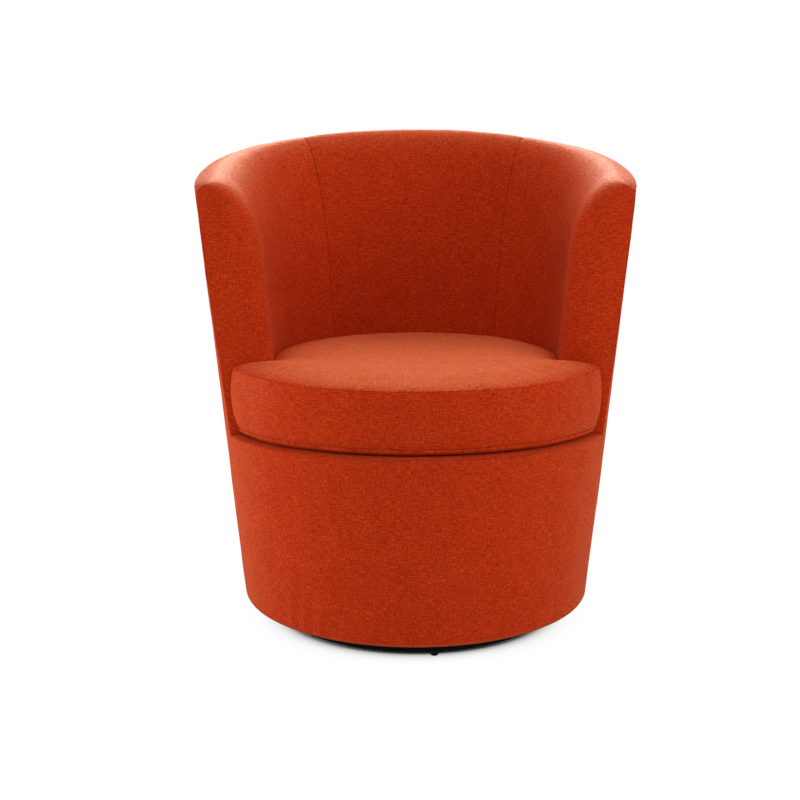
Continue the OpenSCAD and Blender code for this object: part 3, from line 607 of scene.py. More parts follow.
def plainMaterial(name, low, high, scale, roughness, bump=0.0, detail=4.0, stretch=(1, 1, 1), metallic=0.0,
                  specular=0.5):
    # Two tones mixed by noise of a given size, with a bump of the same noise
    material, tree = newMaterial(name)
    spot = addNode(tree, "ShaderNodeTexCoord").outputs["Object"]
    stretched = addNode(tree, "ShaderNodeMapping", {"Vector": spot, "Scale": stretch}).outputs[0]
    grain = noiseOf(tree, stretched, scale, detail, dimensions="3D")
    colour = ramped(tree, grain, (finish["lowAt"], low), (finish["highAt"], high))
    inputs = {"Base Color": colour, "Roughness": roughness, "Metallic": metallic, "Specular IOR Level": specular}
    if bump:
        inputs["Normal"] = bumped(tree, grain, bump)
    finishedBy(tree, inputs)
    return material


# Cut polyurethane foam: open cells of about half a millimetre, drawn at 1.5 mm, and dead matt
cutFoam = plainMaterial("cutFoam", "#DCCF9F", "#EFE6C4", 650, 0.95, 0.0006)
# Bonded polyester wadding: white, fibrous and soft
bondedWadding = plainMaterial("bondedWadding", "#DAD8D2", "#F1F0EC", 260, 0.95, 0.0012, stretch=(1, 1, 0.3))
# Rotary cut birch plywood, unfinished: long pale figure and a dry satin face
birchPlywood = plainMaterial("birchPlywood", "#B98F5B", "#D8B684", 9, 0.62, 0.0002, 6.0, (1, 8, 8))
# Tempered hardboard: pressed brown fibres, smooth and slightly oily
temperedHardboard = plainMaterial("temperedHardboard", "#6F4A2A", "#8E6740", 320, 0.48, 0.0002)
# Sprayed black paint on board: satin, with a faint orange peel
blackPaintedBoard = plainMaterial("blackPaintedBoard", "#070604", "#0E0C09", 240, 0.7, 0.0002, specular=0.05)
# Injection moulded polyethylene glides: black, satin, with a fine spark-eroded grain
mouldedPolyethylene = plainMaterial("mouldedPolyethylene", "#090808", "#121110", 900, 0.55, 0.0001, specular=0.1)
# Zinc plated pressed steel: cool grey with a soft spangle
zincPlatedSteel = plainMaterial("zincPlatedSteel", "#8E959B", "#B9BEC2", 160, 0.34, 0.0, 3.0, metallic=1.0)
# Spunbond polypropylene dust cloth: thin, black and slightly mottled by its point bonds
spunbondCloth = plainMaterial("spunbondCloth", "#0F0F0F", "#272625", 420, 0.8, 0.0003)
# Polypropylene seat webbing: coarse black tapes with a dull shine
strapWebbing = plainMaterial("strapWebbing", "#1B1A19", "#34322F", 300, 0.6, 0.0004, stretch=(1, 4, 1))

nodeFinishes = [
    (("bottom_board", "drum_post", "seat_ring", "back_post", "arm_post", "top_rail"), birchPlywood),
    (("drum_board", "tub_board", "inner_"), temperedHardboard),
    (("base_board",), blackPaintedBoard),
    (("glide_",), mouldedPolyethylene),
    (("lower_", "upper_", "pivot_", "ball_", "bearing_", "tee_nuts", "cover_staples"), zincPlatedSteel),
]


def finishNodes():
    # The CAD nodes that stay get the finish of the real part
    for name, node in nodes.items():
        for starts, material in nodeFinishes:
            if name.startswith(starts):
                for held in node.material_slots:
                    held.material = material
    print("CAD nodes finished")


# Outer cover: one skin round the tub and the drum, sewn at the rim, the arm fronts, the ledge and twice at the back
outerCover = {
    "step": 0.0085,
    "thickness": 0.0015,
    "wallHeight": 0.45,
    "tipReach": 0.020,
    "tipIn": 0.0055,
    "tipPush": (-0.45, 0.65, -0.6),
    "waves": [(0.0010, 0.13, 3.1), (0.0004, 0.035, 8.7)],
    "turnedRows": 7,
    "cornerRows": 8,
    "seamPoints": 120,
    "lastStitch": 0.002,
    "pleats": 40,
    "pleatDrift": (0.8, 5),
    "pleatDepth": 0.0004,
    "pull": {"angle": math.radians(-143), "width": 0.16, "height": 0.075, "depth": 0.0011, "folds": 62, "lean": 2.2},
}


def wallAngle(zone, t, z, inset=0.0):
    # Angle of a column of the wall at a height: arms spread between the back seam and the leaning front edge
    high = np.maximum(z, tub["ringHeight"])
    r = wallRadius(high)
    end = angleAt(frontY(high) + inset, r)
    seam = tub["seamAngle"]
    if zone == "back":
        return mix(-seam, seam, t) + 0 * z
    if zone == "right":
        return mix(seam, end, t)
    return -mix(seam, end, 1 - t)


def wallColumns():
    # Places of the columns in order: left arm, back, right arm, and then the open front
    r = wallRadius(tub["deckHeight"])
    angles = (tub["drumEnd"] - tub["seamAngle"], 2 * tub["seamAngle"], 2 * (math.pi - tub["drumEnd"]))
    arm, back, front = (spaced(angle * r, outerCover["step"]) for angle in angles)
    columns = [("left", t) for t in 1 - arm[::-1]] + [("back", t) for t in back[1:-1]]
    return columns + [("right", t) for t in arm] + [("front", t) for t in front[1:-1]]


def rimHeightAt(zone, t, inset=0.0):
    z = rimAt(0)
    for i in range(tub["settleRounds"]):
        z = rimAt(wallRadius(z) * np.cos(wallAngle(zone, t, z, inset)))
    return z


def softTips(points, more=1.0):
    # The corner of the cover at the top of each arm's front is turned and poked out, so it ends soft
    z = rimHeightAt("right", 1.0)
    out = points.copy()
    for side in (-1, 1):
        tip = place(side * angleAt(frontY(z), wallRadius(z)), wallRadius(z), z)
        away = np.linalg.norm(points - tip, axis=-1) / (more * outerCover["tipReach"])
        share = 1 - smooth(np.clip(away, 0, 1))
        push = np.array(outerCover["tipPush"]) * [side, 1, 1]
        out += more * outerCover["tipIn"] * share[..., None] * push
    return out


def drumSkin(columns, turned, corner):
    # From the inner edge of the cloth turned under the drum, round the drum's lower edge and up to the ledge
    edge, low = tub["lowerEdge"], tub["coverLow"]
    rise = spaced(tub["sideEdge"] - low - edge, outerCover["step"], False)[1:]
    inset = np.concatenate([mix(tub["turnUnder"], edge, turned), edge * (1 - np.sin(corner)), 0 * rise])
    skin = []
    for zone, t in columns:
        angle = mix(tub["drumEnd"], 2 * math.pi - tub["drumEnd"], t)
        top = edgeZ(angle) if zone == "front" else tub["sideEdge"]
        z = np.concatenate([0 * turned + low, low + edge * (1 - np.cos(corner)), mix(low + edge, top, rise)])
        if zone != "front":
            angle = wallAngle(zone, t, z)
        skin.append(place(angle, wallRadius(z) - inset, z))
    calm = np.concatenate([0 * turned, np.sin(corner) ** 2, 0 * rise + 1])[:, None]
    gathered = np.concatenate([1 - turned, 0 * corner, 0 * rise])
    return np.array(skin), calm, gathered


def makeOuterCover():
    columns = wallColumns()
    wallCount = sum(1 for c in columns if c[0] != "front")
    turned = np.linspace(0, 1, outerCover["turnedRows"])
    corner = np.radians(np.linspace(0, 90, outerCover["cornerRows"]))[1:]
    drum, calm, gathered = drumSkin(columns, turned, corner)
    wall = []
    for zone, t in columns[:wallCount]:
        z = mix(tub["sideEdge"], rimHeightAt(zone, t), spaced(outerCover["wallHeight"], outerCover["step"]))
        wall.append(place(wallAngle(zone, t, z), wallRadius(z), z))
    wall = np.array(wall)

    # The skin waves a little over its wadding, gathers under the drum and pulls at the front left
    drumNormals = -gridNormals(drum, True)
    wallNormals = -gridNormals(wall)
    wallNormals[:, 0] = drumNormals[:wallCount, -1]
    for points, normals, held in ((drum, drumNormals, calm), (wall, wallNormals, 1)):
        for wave in outerCover["waves"]:
            points += held * normals * unevenness(points, [wave])[..., None]
    angles = np.arctan2(drum[:, 0, 0], drum[:, 0, 1] - tub["axisY"])
    drift, turns = outerCover["pleatDrift"]
    gather = np.abs(np.sin(outerCover["pleats"] * angles / 2 + drift * np.sin(turns * angles)))
    drum[..., 2] -= outerCover["pleatDepth"] * gather[:, None] * gathered[None, :]
    pull = outerCover["pull"]
    aside = ((angles - pull["angle"] + math.pi) % (2 * math.pi) - math.pi)[:, None]
    height = (drum[..., 2] - tub["coverLow"]) / pull["height"]
    slanted = np.sin(aside * pull["folds"] + height * pull["lean"])
    slanted *= np.exp(-height * height) * np.exp(-(aside / pull["width"]) ** 2)
    slanted *= drum[..., 2] > tub["coverLow"] + tub["lowerEdge"] / 2
    drum += drumNormals * (pull["depth"] * slanted)[..., None]

    lastStitch = drum[0, -1] + np.outer([0, outerCover["lastStitch"]], [0, 0, 1])
    edges = [wall[0], wall[-1], wall[:, -1], drum[wallCount - 1:, -1], lastStitch]
    upright = []
    for t in (0.0, 1.0):
        z = np.linspace(tub["coverLow"] + tub["lowerEdge"], rimHeightAt("back", t), outerCover["seamPoints"])
        upright.append(place(wallAngle("back", t, z), wallRadius(z), z))
    skins = []
    for points, normals in ((drum, drumNormals), (wall, wallNormals)):
        points = sew(points, normals, edges, sewing["rimRadius"], sewing["rimSink"], sewing["rimPucker"])
        skins.append(sew(points, normals, upright, sink=sewing["sideSink"]))

    # Two bent grids, the ring of the drum and the wall above it, joined along their shared row
    ring, wall = closedRound(skins[0]), skins[1]
    grids = [softTips(points)[::-1] for points in (ring, wall)]
    piece = joined("outerCover", [bentGrid("skin", points, conePattern(points)) for points in grids])
    weld(piece)
    giveThickness(piece, outerCover["thickness"])
    finishPiece(piece, "chair", coverCloth, ["outer_cover"])
    girth = 2 * math.pi * tub["stretch"] * wallRadius(tub["height"])
    tall = tub["height"] - tub["coverLow"] + tub["turnUnder"]
    declareSheet(piece, girth, tall, areaOf(ring) + areaOf(wall), ["drumWadding", "tubWadding"])
    print("outer cover made:", len(piece.data.polygons), "faces")


def conePattern(points):
    # The cloth's threads on the unrolled cone: upright at the front, and at the back on the panel between its seams
    x = points[..., 0] / tub["stretch"]
    y = points[..., 1] - tub["axisY"]
    angle = np.arctan2(x, y)
    onBack = np.abs(angle) < tub["seamAngle"]
    angle = np.where(onBack, angle, (angle % (2 * math.pi)) - math.pi)
    flare = math.sin(math.radians(tub["flare"]))
    slant = np.hypot(x, y) / flare
    return np.stack([slant * np.sin(angle * flare), slant * np.cos(angle * flare)], -1)


# Inner covers: the back panel and the two arm panels, each rolled over the rim to its seam
innerCover = {
    "step": 0.0075,
    "thickness": 0.0015,
    "bodyHeight": 0.24,
    "rollLength": 0.27,
    "rollRows": 6,
    "crestTurns": [12, 25, 38, 50, 60, 69, 76, 81, 85, 87.5, 89, 90],
    "coarseTurns": [45, 90],
    "coarseStep": 0.01,
    "backAt": 0.6,
    "armLength": 0.32,
    "turnSamples": 2000,
    "puff": 0.0025,
    "puffRise": 0.03,
    "puffFade": 0.10,
    "puffReach": 0.12,
    "footFade": 0.12,
    "armPuff": 0.005,
    "armPuffFrom": 0.495,
    "armPuffFade": 0.1,
    "footDrop": 0.003,
    "footReach": 0.005,
    "waves": [(0.0012, 0.12, 2.2), (0.0004, 0.03, 6.2)],
    "seamGap": 0.0012,
    "threadRow": 10,
    "widthRows": 5,
}


def cornerW(th, off):
    return off + (tub["armCorner"] - off) * (1 - np.cos(th) ** tub["cornerPower"])


def stationAngle(s, z, r, w):
    # A station is (side, angle, f, th): side 0 is the back, f runs along the arm, th turns round its front
    if s[0] == 0:
        return s[1] + 0 * z
    if s[2] < 1:
        end = angleAt(frontY(z) + tub["armCorner"], r)
        return s[0] * mix(tub["seamAngle"], end, s[2])
    return s[0] * angleAt(frontY(z) + w, r)


def stationRim(s, w):
    z = rimAt(0)
    for i in range(tub["settleRounds"]):
        z = rimAt(wallRadius(z) * np.cos(stationAngle(s, z, wallRadius(z), w)))
    return z


def wallThick(f):
    return mix(tub["backThick"], tub["armThick"], smooth(f))


def coverFoot(s):
    r = wallRadius(tub["deckHeight"])
    angle = stationAngle(s, tub["deckHeight"], r, cornerW(s[3], 0.0))
    foot = deckZ(r * np.cos(angle)) - tub["edgeDrop"] + innerCover["seamGap"]
    inFront = tub["armThick"] * math.sin(s[3]) ** tub["cornerPower"] / innerCover["footReach"]
    return foot - innerCover["footDrop"] * (min(inFront, 1) if s[0] and s[2] >= 1 else 1)


def innerRows(step):
    # Rows up the straight body, over the roll and down the crest
    body = spaced(innerCover["bodyHeight"], step, False, False)
    rollCount = max(innerCover["rollRows"], round(innerCover["rollLength"] / step))
    roll = np.radians(np.linspace(0, 90, rollCount))[1:]
    over = np.radians(innerCover["crestTurns" if step < innerCover["coarseStep"] else "coarseTurns"])
    t = np.concatenate([body, 0 * roll + 1, 0 * over + 1])
    up = np.concatenate([0 * body, roll, 0 * over + math.pi / 2])
    down = np.concatenate([0 * body, 0 * roll, over])
    return t, up, down


def innerFace(s, off, low, rows):
    t, up, down = rows
    turn = np.sin(s[3]) ** tub["cornerPower"]
    w = cornerW(s[3], off)
    rim = stationRim(s, w)
    side = smooth(s[2])
    full = off + (wallThick(s[2]) - 2 * off) * turn
    top = mix(off, full, mix(tub["backPeak"], tub["armPeak"], side))
    roll = mix(tub["backRoll"], tub["armRoll"], side)
    crest = mix(tub["backCrest"], tub["armCrest"], side) * turn
    rolled = mix(top, full, np.abs(np.cos(up)) ** tub["rollPower"])
    rolled = np.where(up >= math.pi / 2, top, rolled)
    inset = mix(rolled, off, np.sin(down))
    body = mix(low, rim - roll, t)
    z = np.where(down > 0, rim - off + crest * np.cos(down) ** 2,
                 body + (roll + crest - off) * np.sin(up) ** tub["rollPower"])
    r = wallRadius(z) - inset
    return place(stationAngle(s, z, r, w), r, z)


def frontTurns(step, start):
    # Turns of the arm's front, evenly spaced round its rounded plan and closer at the outer seam
    th = np.radians(np.linspace(0, 90, innerCover["turnSamples"]))
    plan = np.stack([tub["armThick"] * np.sin(th) ** tub["cornerPower"], cornerW(th, 0.0)], -1)
    s = alongLine(plan)
    at = spaced(s[-1], step, True, False, start=start) * s[-1]
    return np.interp(at, s, th)[::-1][1:]


def backStations(step):
    length = 2 * tub["seamAngle"] * (wallRadius(innerCover["backAt"]) - tub["backThick"])
    places = spaced(length, step, start=sewing["start"], stop=sewing["start"])
    return [(0, mix(-tub["seamAngle"], tub["seamAngle"], t), 0.0, math.pi / 2) for t in places]


def armStations(side, step, start=sewing["frontStart"]):
    places = spaced(innerCover["armLength"], step, True, False, start=sewing["start"])
    stations = [(side, 0.0, f, math.pi / 2) for f in places]
    stations += [(side, 0.0, 1.0, th) for th in frontTurns(step, start)]
    return stations if side > 0 else stations[::-1]


def makeInnerCover(name, node, stations, material, seed):
    cover, side = innerCover, stations[0][0]
    rows = innerRows(cover["step"])
    points = np.array([innerFace(s, 0.0, coverFoot(s), rows) for s in stations])
    normals = gridNormals(points)

    # It swells over its pad away from the seams, and more at the front of the arm
    far = seamDistance(points, [points[0], points[-1], points[:, -1]], cover["puffReach"])[0]
    swell = cover["puff"] * (1 - np.exp(-far / cover["puffRise"])) * np.exp(-far / cover["puffFade"])
    z = points[..., 2]
    swell = (swell + unevenness(points, cover["waves"])) * np.clip((z - z[:, :1]) / cover["footFade"], 0, 1)
    front = np.array([math.sin(2 * s[3]) if s[2] >= 1 else 0.0 for s in stations])[:, None]
    above = smooth(np.clip((z - cover["armPuffFrom"]) / cover["armPuffFade"], 0, 1))
    body = np.cos(rows[1]) * (rows[2] == 0)
    points = points + normals * (swell + cover["armPuff"] * front * above * body)[..., None]

    # Threads run up the panel, from its length along one row
    across = alongLine(points[:, cover["threadRow"]])[:, None]
    up = np.cumsum(np.linalg.norm(np.diff(points, axis=1, prepend=points[:, :1]), axis=-1), axis=1)
    uv = np.stack([across + 0 * up + seed, up], -1)
    first, last, rim = points[0], points[-1], points[:, -1]
    inner, outer = {0: ([first, last], [rim]), 1: ([first], [rim, last]), -1: ([last], [rim, first])}[side]
    points = sew(points, normals, inner, sink=sewing["sideSink" if side else "sink"])
    points = sew(points, normals, outer, sewing["rimRadius"], sewing["rimSink"], sewing["rimPucker"])
    piece = bentGrid(name, softTips(points), uv)
    giveThickness(piece, cover["thickness"])
    finishPiece(piece, "chair", material, [node])
    widest = max(lengthOf(points[:, j]) for j in range(0, points.shape[1], cover["widthRows"]))
    declareSheet(piece, widest, float(up.max()), areaOf(points), [name.replace("Cover", "Pad")])
    print(name, "made:", len(piece.data.polygons), "faces")


# Plan of the seat inside the tub, its right half from the rear to the middle of the front
seat = {
    "rear": 4,
    "side": 6,
    "turn": 4,
    "ear": 3,
    "front": 8,
    "gap": 0.002,
    "earRadius": 0.010,
    "middleY": -0.126,
    "topPitch": 1.2,
    "edgeThick": 0.107,
    "samples": 4000,
}


def seatXY(k, z, gap, frontSize, earRadius):
    r = wallRadius(z)
    frontR = frontSize + 0 * r if earRadius > 0 else r - frontSize
    yLine = frontY(z) - gap
    yC = yLine - earRadius
    xC = np.sqrt((frontR - earRadius) ** 2 - yC * yC)
    turnTip = np.clip((r - np.hypot(xC, yLine) + gap) / (tub["armThick"] + 2 * gap), 0, 1)
    thTip = np.arcsin(turnTip ** (1 / tub["cornerPower"]))
    angleTip = np.arctan2(xC, yC) if earRadius > 0 else tub["drumEnd"] + 0 * r
    k1 = seat["rear"]
    k2 = k1 + seat["side"]
    k3 = k2 + seat["turn"]
    k4 = k3 + (seat["ear"] if earRadius > 0 else 0)
    f = np.clip((k - k1) / seat["side"], 0, 1)
    th = np.pi / 2 + (thTip - np.pi / 2) * np.clip((k - k2) / seat["turn"], 0, 1)
    w = -gap + (tub["armCorner"] + gap) * (1 - np.abs(np.cos(th)) ** tub["cornerPower"])
    turnedR = r + gap - (tub["armThick"] + 2 * gap) * np.sin(th) ** tub["cornerPower"]
    turnedX = np.sqrt(np.maximum(turnedR ** 2 - (frontY(z) + w) ** 2, 0))
    beta = angleTip * np.clip((k - k3) / seat["ear"], 0, 1)
    frontAngle = mix(angleTip, np.pi, np.clip((k - k4) / seat["front"], 0, 1))
    rearAngle = tub["seamAngle"] * np.clip(k / k1, 0, 1)
    rearR = r - tub["backThick"] - gap
    sideR = r - wallThick(f) - gap
    sideAngle = mix(tub["seamAngle"], angleAt(frontY(z) + tub["armCorner"], sideR), f)
    zones = [k <= k1, k <= k2, k <= k3, k <= k4]
    x = np.select(zones, [rearR * np.sin(rearAngle), sideR * np.sin(sideAngle), turnedX,
                          xC + earRadius * np.sin(beta)], frontR * np.sin(frontAngle))
    y = np.select(zones, [rearR * np.cos(rearAngle), sideR * np.cos(sideAngle), frontY(z) + w,
                          yC + earRadius * np.cos(beta)], frontR * np.cos(frontAngle))
    return x, y


def seatZ(h, y):
    # Height above the sloping deck, where the cushion grows thicker towards the rear
    growth = (slope(tub["seatPitch"]) - slope(seat["topPitch"])) / seat["edgeThick"]
    return deckZ(y) + h + growth * max(h, 0) * (y + tub["edgeRadius"])


def seatRing(k, h, gap, frontSize, earRadius, draw, shrink=0.0):
    # A ring at a height above the deck, drawn in towards the middle of the seat and then shrunk by a share
    x, y = seatXY(k, seatZ(h, -tub["armFront"]) + 0 * k, gap, frontSize, earRadius)
    x, y = seatXY(k, seatZ(h, y), gap, frontSize, earRadius)
    far = np.hypot(x, y - seat["middleY"])
    t = 1 - (1 - np.minimum(draw / far, 1)) * (1 - shrink)
    x, y = mix(x, 0, t), mix(y, seat["middleY"], t)
    return np.stack([tub["stretch"] * x, y + tub["axisY"], seatZ(h, y)], -1)


def seatCount(earRadius):
    return seat["rear"] + seat["side"] + seat["turn"] + (seat["ear"] if earRadius > 0 else 0) + seat["front"]


def seatPlaces(h, gap, frontSize, earRadius, step):
    # Columns of the right half, evenly spaced along a ring
    k = np.linspace(0, seatCount(earRadius), seat["samples"])
    s = alongLine(seatRing(k, h, gap, frontSize, earRadius, 0.0))
    return np.interp(np.linspace(0, s[-1], round(s[-1] / step) + 1), s, k)


def wholeRing(half):
    # Both halves, once round: the right half from the rear to the front, and the left half back
    left = half[::-1][1:-1] * [-1, 1, 1]
    return np.concatenate([half, left])


def seatMiddle(z):
    return np.array([0, seat["middleY"] + tub["axisY"], z])


# Loose seat cushion: a foam core in a boxed cover of three panels, with a zip at the rear
cushion = {
    "step": 0.0065,
    "measureAt": 0.06,
    "thick": 0.107,
    "thickness": 0.0014,
    "crown": 0.015,
    "crownShare": 0.048,
    "narrowing": 0.5,
    "setback": 0.008,
    "earBulge": 0.003,
    "earFrom": 0.27,
    "earFade": 0.04,
    "bulge": 0.004,
    "round": 0.011,
    "roundRows": 7,
    "foot": 0.0005,
    "drawn": 0.149,
    "wideRows": 22,
    "narrowest": 0.96,
    "narrowRows": 18,
    "baseDraw": 1.6,
    "baseBulge": -1.75,
    "lowBulge": -1.0,
    "topBulge": -0.5,
    "borderHeights": [0.108, 0.43, 0.78, 1.0],
    "borderBulges": [-1.0, 0.5, 0.35, -0.5],
    "waves": [(0.0009, 0.09, 12.3), (0.00035, 0.028, 5.5)],
    "seamForm": (0.0021, 0.0012, 0.0007),
    "startCrown": 0.012,
    "topCap": 0.0055,
    "frontCap": 0.0035,
    "frontMargin": 0.004,
    "sideCap": 0.0008,
    "frames": 20,
    "cloth": {"quality": 6, "mass": 0.25, "tension_stiffness": 18, "compression_stiffness": 18, "shear_stiffness": 6,
              "bending_stiffness": 1.2, "use_pressure": True, "uniform_pressure_force": 6.0},
}
cushion["radius"] = tub["edgeRadius"] - cushion["setback"]


def cushionForm(inset=0.0, step=cushion["step"], crown=cushion["crown"]):
    # Rings from the middle of the base up the border to the middle of the top, and what each row is
    foot, rounding, thick = cushion["foot"], cushion["round"], cushion["thick"]
    radius, gap = cushion["radius"], seat["gap"]
    k = seatPlaces(cushion["measureAt"], gap, radius, seat["earRadius"], step)
    bulges = np.polyfit(cushion["borderHeights"], cushion["borderBulges"], 3)
    wide = [(draw, 0.0) for draw in np.linspace(rounding, cushion["drawn"], cushion["wideRows"])]
    shares = np.linspace(0, cushion["narrowest"], cushion["narrowRows"])
    narrow = [(cushion["drawn"], share) for share in shares[1:]]
    rows = []
    for draw, share in (narrow[::-1] + wide[:0:-1])[::2] + [(rounding * cushion["baseDraw"], 0.0)]:
        rows.append((foot + inset, cushion["baseBulge"], draw, share, "base"))
    for a in np.radians(np.linspace(0, 90, cushion["roundRows"]))[:-1]:
        bulge = mix(cushion["baseBulge"], cushion["lowBulge"], math.sin(a))
        h = foot + inset + (rounding - inset) * (1 - math.cos(a))
        rows.append((h, bulge, rounding * (1 - math.sin(a)), 0.0, "base"))
    low, high = foot + rounding, thick - inset
    for t in spaced(thick - low, step):
        h = mix(low, high, t)
        rows.append((h, float(np.polyval(bulges, h / thick)), 0.0, 0.0, "border"))
    for draw, share in [(s, 0.0) for s in sewing["steps"][1:]] + wide + narrow:
        inward = draw / radius + cushion["narrowing"] * share
        h = high + crown * (1 - math.exp(-inward / cushion["crownShare"]))
        rows.append((h, cushion["topBulge"], draw, share, "top"))
    grid = []
    for h, bulge, draw, share, part in rows:
        size = radius + cushion["bulge"] * bulge - inset
        grid.append(wholeRing(seatRing(k, h, gap + inset, size, seat["earRadius"], draw, share)))
    grid = np.array(grid).transpose(1, 0, 2)
    ear = np.clip((np.abs(grid[..., 0]) - cushion["earFrom"]) / cushion["earFade"], 0, 1)
    grid[..., 0] += cushion["earBulge"] * smooth(ear) * np.sign(grid[..., 0])
    low, top = (seatMiddle(seatZ(h, seat["middleY"])) for h in (foot + inset, high + crown))
    return grid, low, top, [row[4] for row in rows]


def meshPoints(mesh):
    points = np.zeros(len(mesh.vertices) * 3, np.float32)
    mesh.vertices.foreach_get("co", points)
    return points.reshape(-1, 3).astype(float)


def swell(piece, pinned, cap):
    # Cloth under pressure, with the seams pinned and each point's travel softly capped
    start = meshPoints(piece.data)
    group = piece.vertex_groups.new(name="pins")
    group.add([int(i) for i in np.flatnonzero(pinned)], 1, "REPLACE")
    selectOnly(piece)
    modifier = piece.modifiers.new("cloth", "CLOTH")
    setAll(modifier.settings, cushion["cloth"])
    modifier.settings.vertex_group_mass = group.name
    modifier.settings.effector_weights.gravity = 0
    modifier.collision_settings.use_collision = False
    modifier.point_cache.frame_start, modifier.point_cache.frame_end = 1, cushion["frames"]
    scene = bpy.context.scene
    for number in range(1, cushion["frames"] + 1):
        scene.frame_set(number)
    moved = meshPoints(piece.evaluated_get(bpy.context.evaluated_depsgraph_get()).data)
    piece.modifiers.remove(modifier)
    scene.frame_set(1)
    travel = moved - start
    length = np.linalg.norm(travel, axis=1, keepdims=True)
    print(piece.name, "swelled: largest travel", round(float(length.max()) * 1000, 1), "mm before the cap")
    capped = cap[:, None] * np.tanh(length / np.maximum(cap[:, None], 1e-6))
    return start + travel / np.maximum(length, 1e-9) * capped


def makeCushion():
    grid, low, top, parts = cushionForm()
    columns, rows = grid.shape[:2]
    baseSeam, topSeam = parts.index("border"), parts.index("top") - 1
    blank = closedLump("cushionBlank", *cushionForm(crown=cushion["startCrown"])[:3])
    pinned = np.zeros((columns, rows))
    pinned[:, :baseSeam + 1] = 1
    pinned[:, topSeam] = 1
    pins = np.concatenate([pinned.ravel(), [1, 0]])
    cap = np.full((columns, rows), cushion["topCap"])
    isFront = grid[..., 1] < tub["axisY"] + frontY(tub["deckHeight"]) - cushion["frontMargin"]
    border = slice(baseSeam + 1, topSeam)
    cap[:, border] = np.where(isFront[:, border], cushion["frontCap"], cushion["sideCap"])
    final = swell(blank, pins, np.concatenate([cap.ravel(), 2 * [cushion["topCap"]]]))
    grid[:, baseSeam + 1:] = final[:-2].reshape(columns, rows, 3)[:, baseSeam + 1:]
    top = final[-1]
    bpy.data.objects.remove(blank)
    dressCushion(grid, low, top, baseSeam, topSeam)


def dressCushion(grid, low, top, baseSeam, topSeam):
    normals = -gridNormals(grid, True)
    seams = [closedRound(grid[:, row]) for row in (baseSeam, topSeam)]
    grid = grid + normals * unevenness(grid, cushion["waves"])[..., None]
    grid = sew(grid, normals, seams, *cushion["seamForm"])

    # Top and base keep the threads of their flat cut, the border runs round
    border = closedRound(grid[:, baseSeam:topSeam + 1])
    around = alongLine(border[:, border.shape[1] // 2])[:, None] + 0 * border[..., 0]
    upper = withPole(grid[:, topSeam:], top)
    under = withPole(grid[:, :baseSeam + 1], low, False)
    topPanel = cushionPanel("cushionTop", "cushion_top", upper, upper[..., :2])
    sidePanel = cushionPanel("cushionBorder", "cushion_border", border, np.stack([around, border[..., 2]], -1))
    basePanel = cushionPanel("cushionBase", "cushion_base", under, under[..., :2])
    for piece, area in (topPanel, basePanel):
        declareSheet(piece, *flatSize(grid), area, ["cushionCore"])
    declareSheet(sidePanel[0], lengthOf(border[:, -1]), cushion["thick"], sidePanel[1], ["cushionCore"])
    print("cushion made:", grid.shape[0] * grid.shape[1], "points")


def cushionPanel(name, node, points, uv):
    piece = bentGrid(name, points[::-1], uv[::-1], True)
    if name == "cushionBorder":
        cutZipSlot(piece)
    giveThickness(piece, cushion["thickness"])
    finishPiece(piece, "cushion", seatCloth, [node])
    return piece, areaOf(points)


# Zip in the rear of the border: two tapes under the slot, a row of coils along the middle, and its slider
zipper = {
    "middle": 0.6,
    "slotLow": 0.545,
    "slotHigh": 0.655,
    "end": 4.6,
    "tapeEnd": 5.0,
    "tapePoints": 60,
    "tapeLow": 0.44,
    "tapeHigh": 0.77,
    "tapeRows": 15,
    "tapeThick": 0.0007,
    "behind": 0.0034,
    "coilOut": 0.0008,
    "coilSamples": 700,
    "coilPoints": 1100,
    "coilSides": 8,
    "coilRadius": 0.0016,
    "coilPitch": 0.0026,
    "coilWaist": 0.28,
    "coilTall": 1.35,
    "coilDeep": 0.8,
    "sliderAt": 3.9,
    "sliderAhead": 0.05,
    "sliderOut": 0.0026,
    "sliderSize": (0.009, 0.0066, 0.0022),
    "sliderBevel": 0.0008,
    "tabAt": (0.009, 0, 0.0015),
    "tabSize": (0.016, 0.005, 0.0011),
    "tabBevel": 0.0004,
    "sharpFrom": 30,
}


def cutZipSlot(piece):
    # Opens the border over the zip
    end = seatRing(np.array([zipper["end"]]), cushion["measureAt"], seat["gap"], cushion["radius"],
                   seat["earRadius"], 0.0)[0, 0]
    bpy.context.tool_settings.mesh_select_mode = (False, False, True)
    selectOnly(piece)
    for element in (*piece.data.vertices, *piece.data.edges):
        element.select = False
    for polygon in piece.data.polygons:
        x, y, z = polygon.center
        flat = deckZ(y - tub["axisY"])
        h = (z - flat) / (seatZ(cushion["thick"], y - tub["axisY"]) - flat)
        polygon.select = bool(zipper["slotLow"] < h < zipper["slotHigh"] and abs(x) < end and y > 0)
    bpy.ops.object.mode_set(mode="EDIT")
    bpy.ops.mesh.delete(type="FACE")
    bpy.ops.object.mode_set(mode="OBJECT")


def zipHalf(k, height, behind):
    # Places on the right half of the cushion's rear, at a share of its height and some way behind its face
    gap, radius = seat["gap"] + behind, cushion["radius"] - behind
    return seatRing(k, height * cushion["thick"], gap, radius, seat["earRadius"], 0.0)


def zipLine(k, height, behind):
    # The same from the left end to the right
    half = zipHalf(k, height, behind)
    return np.concatenate([half[::-1] * [-1, 1, 1], half[1:]])


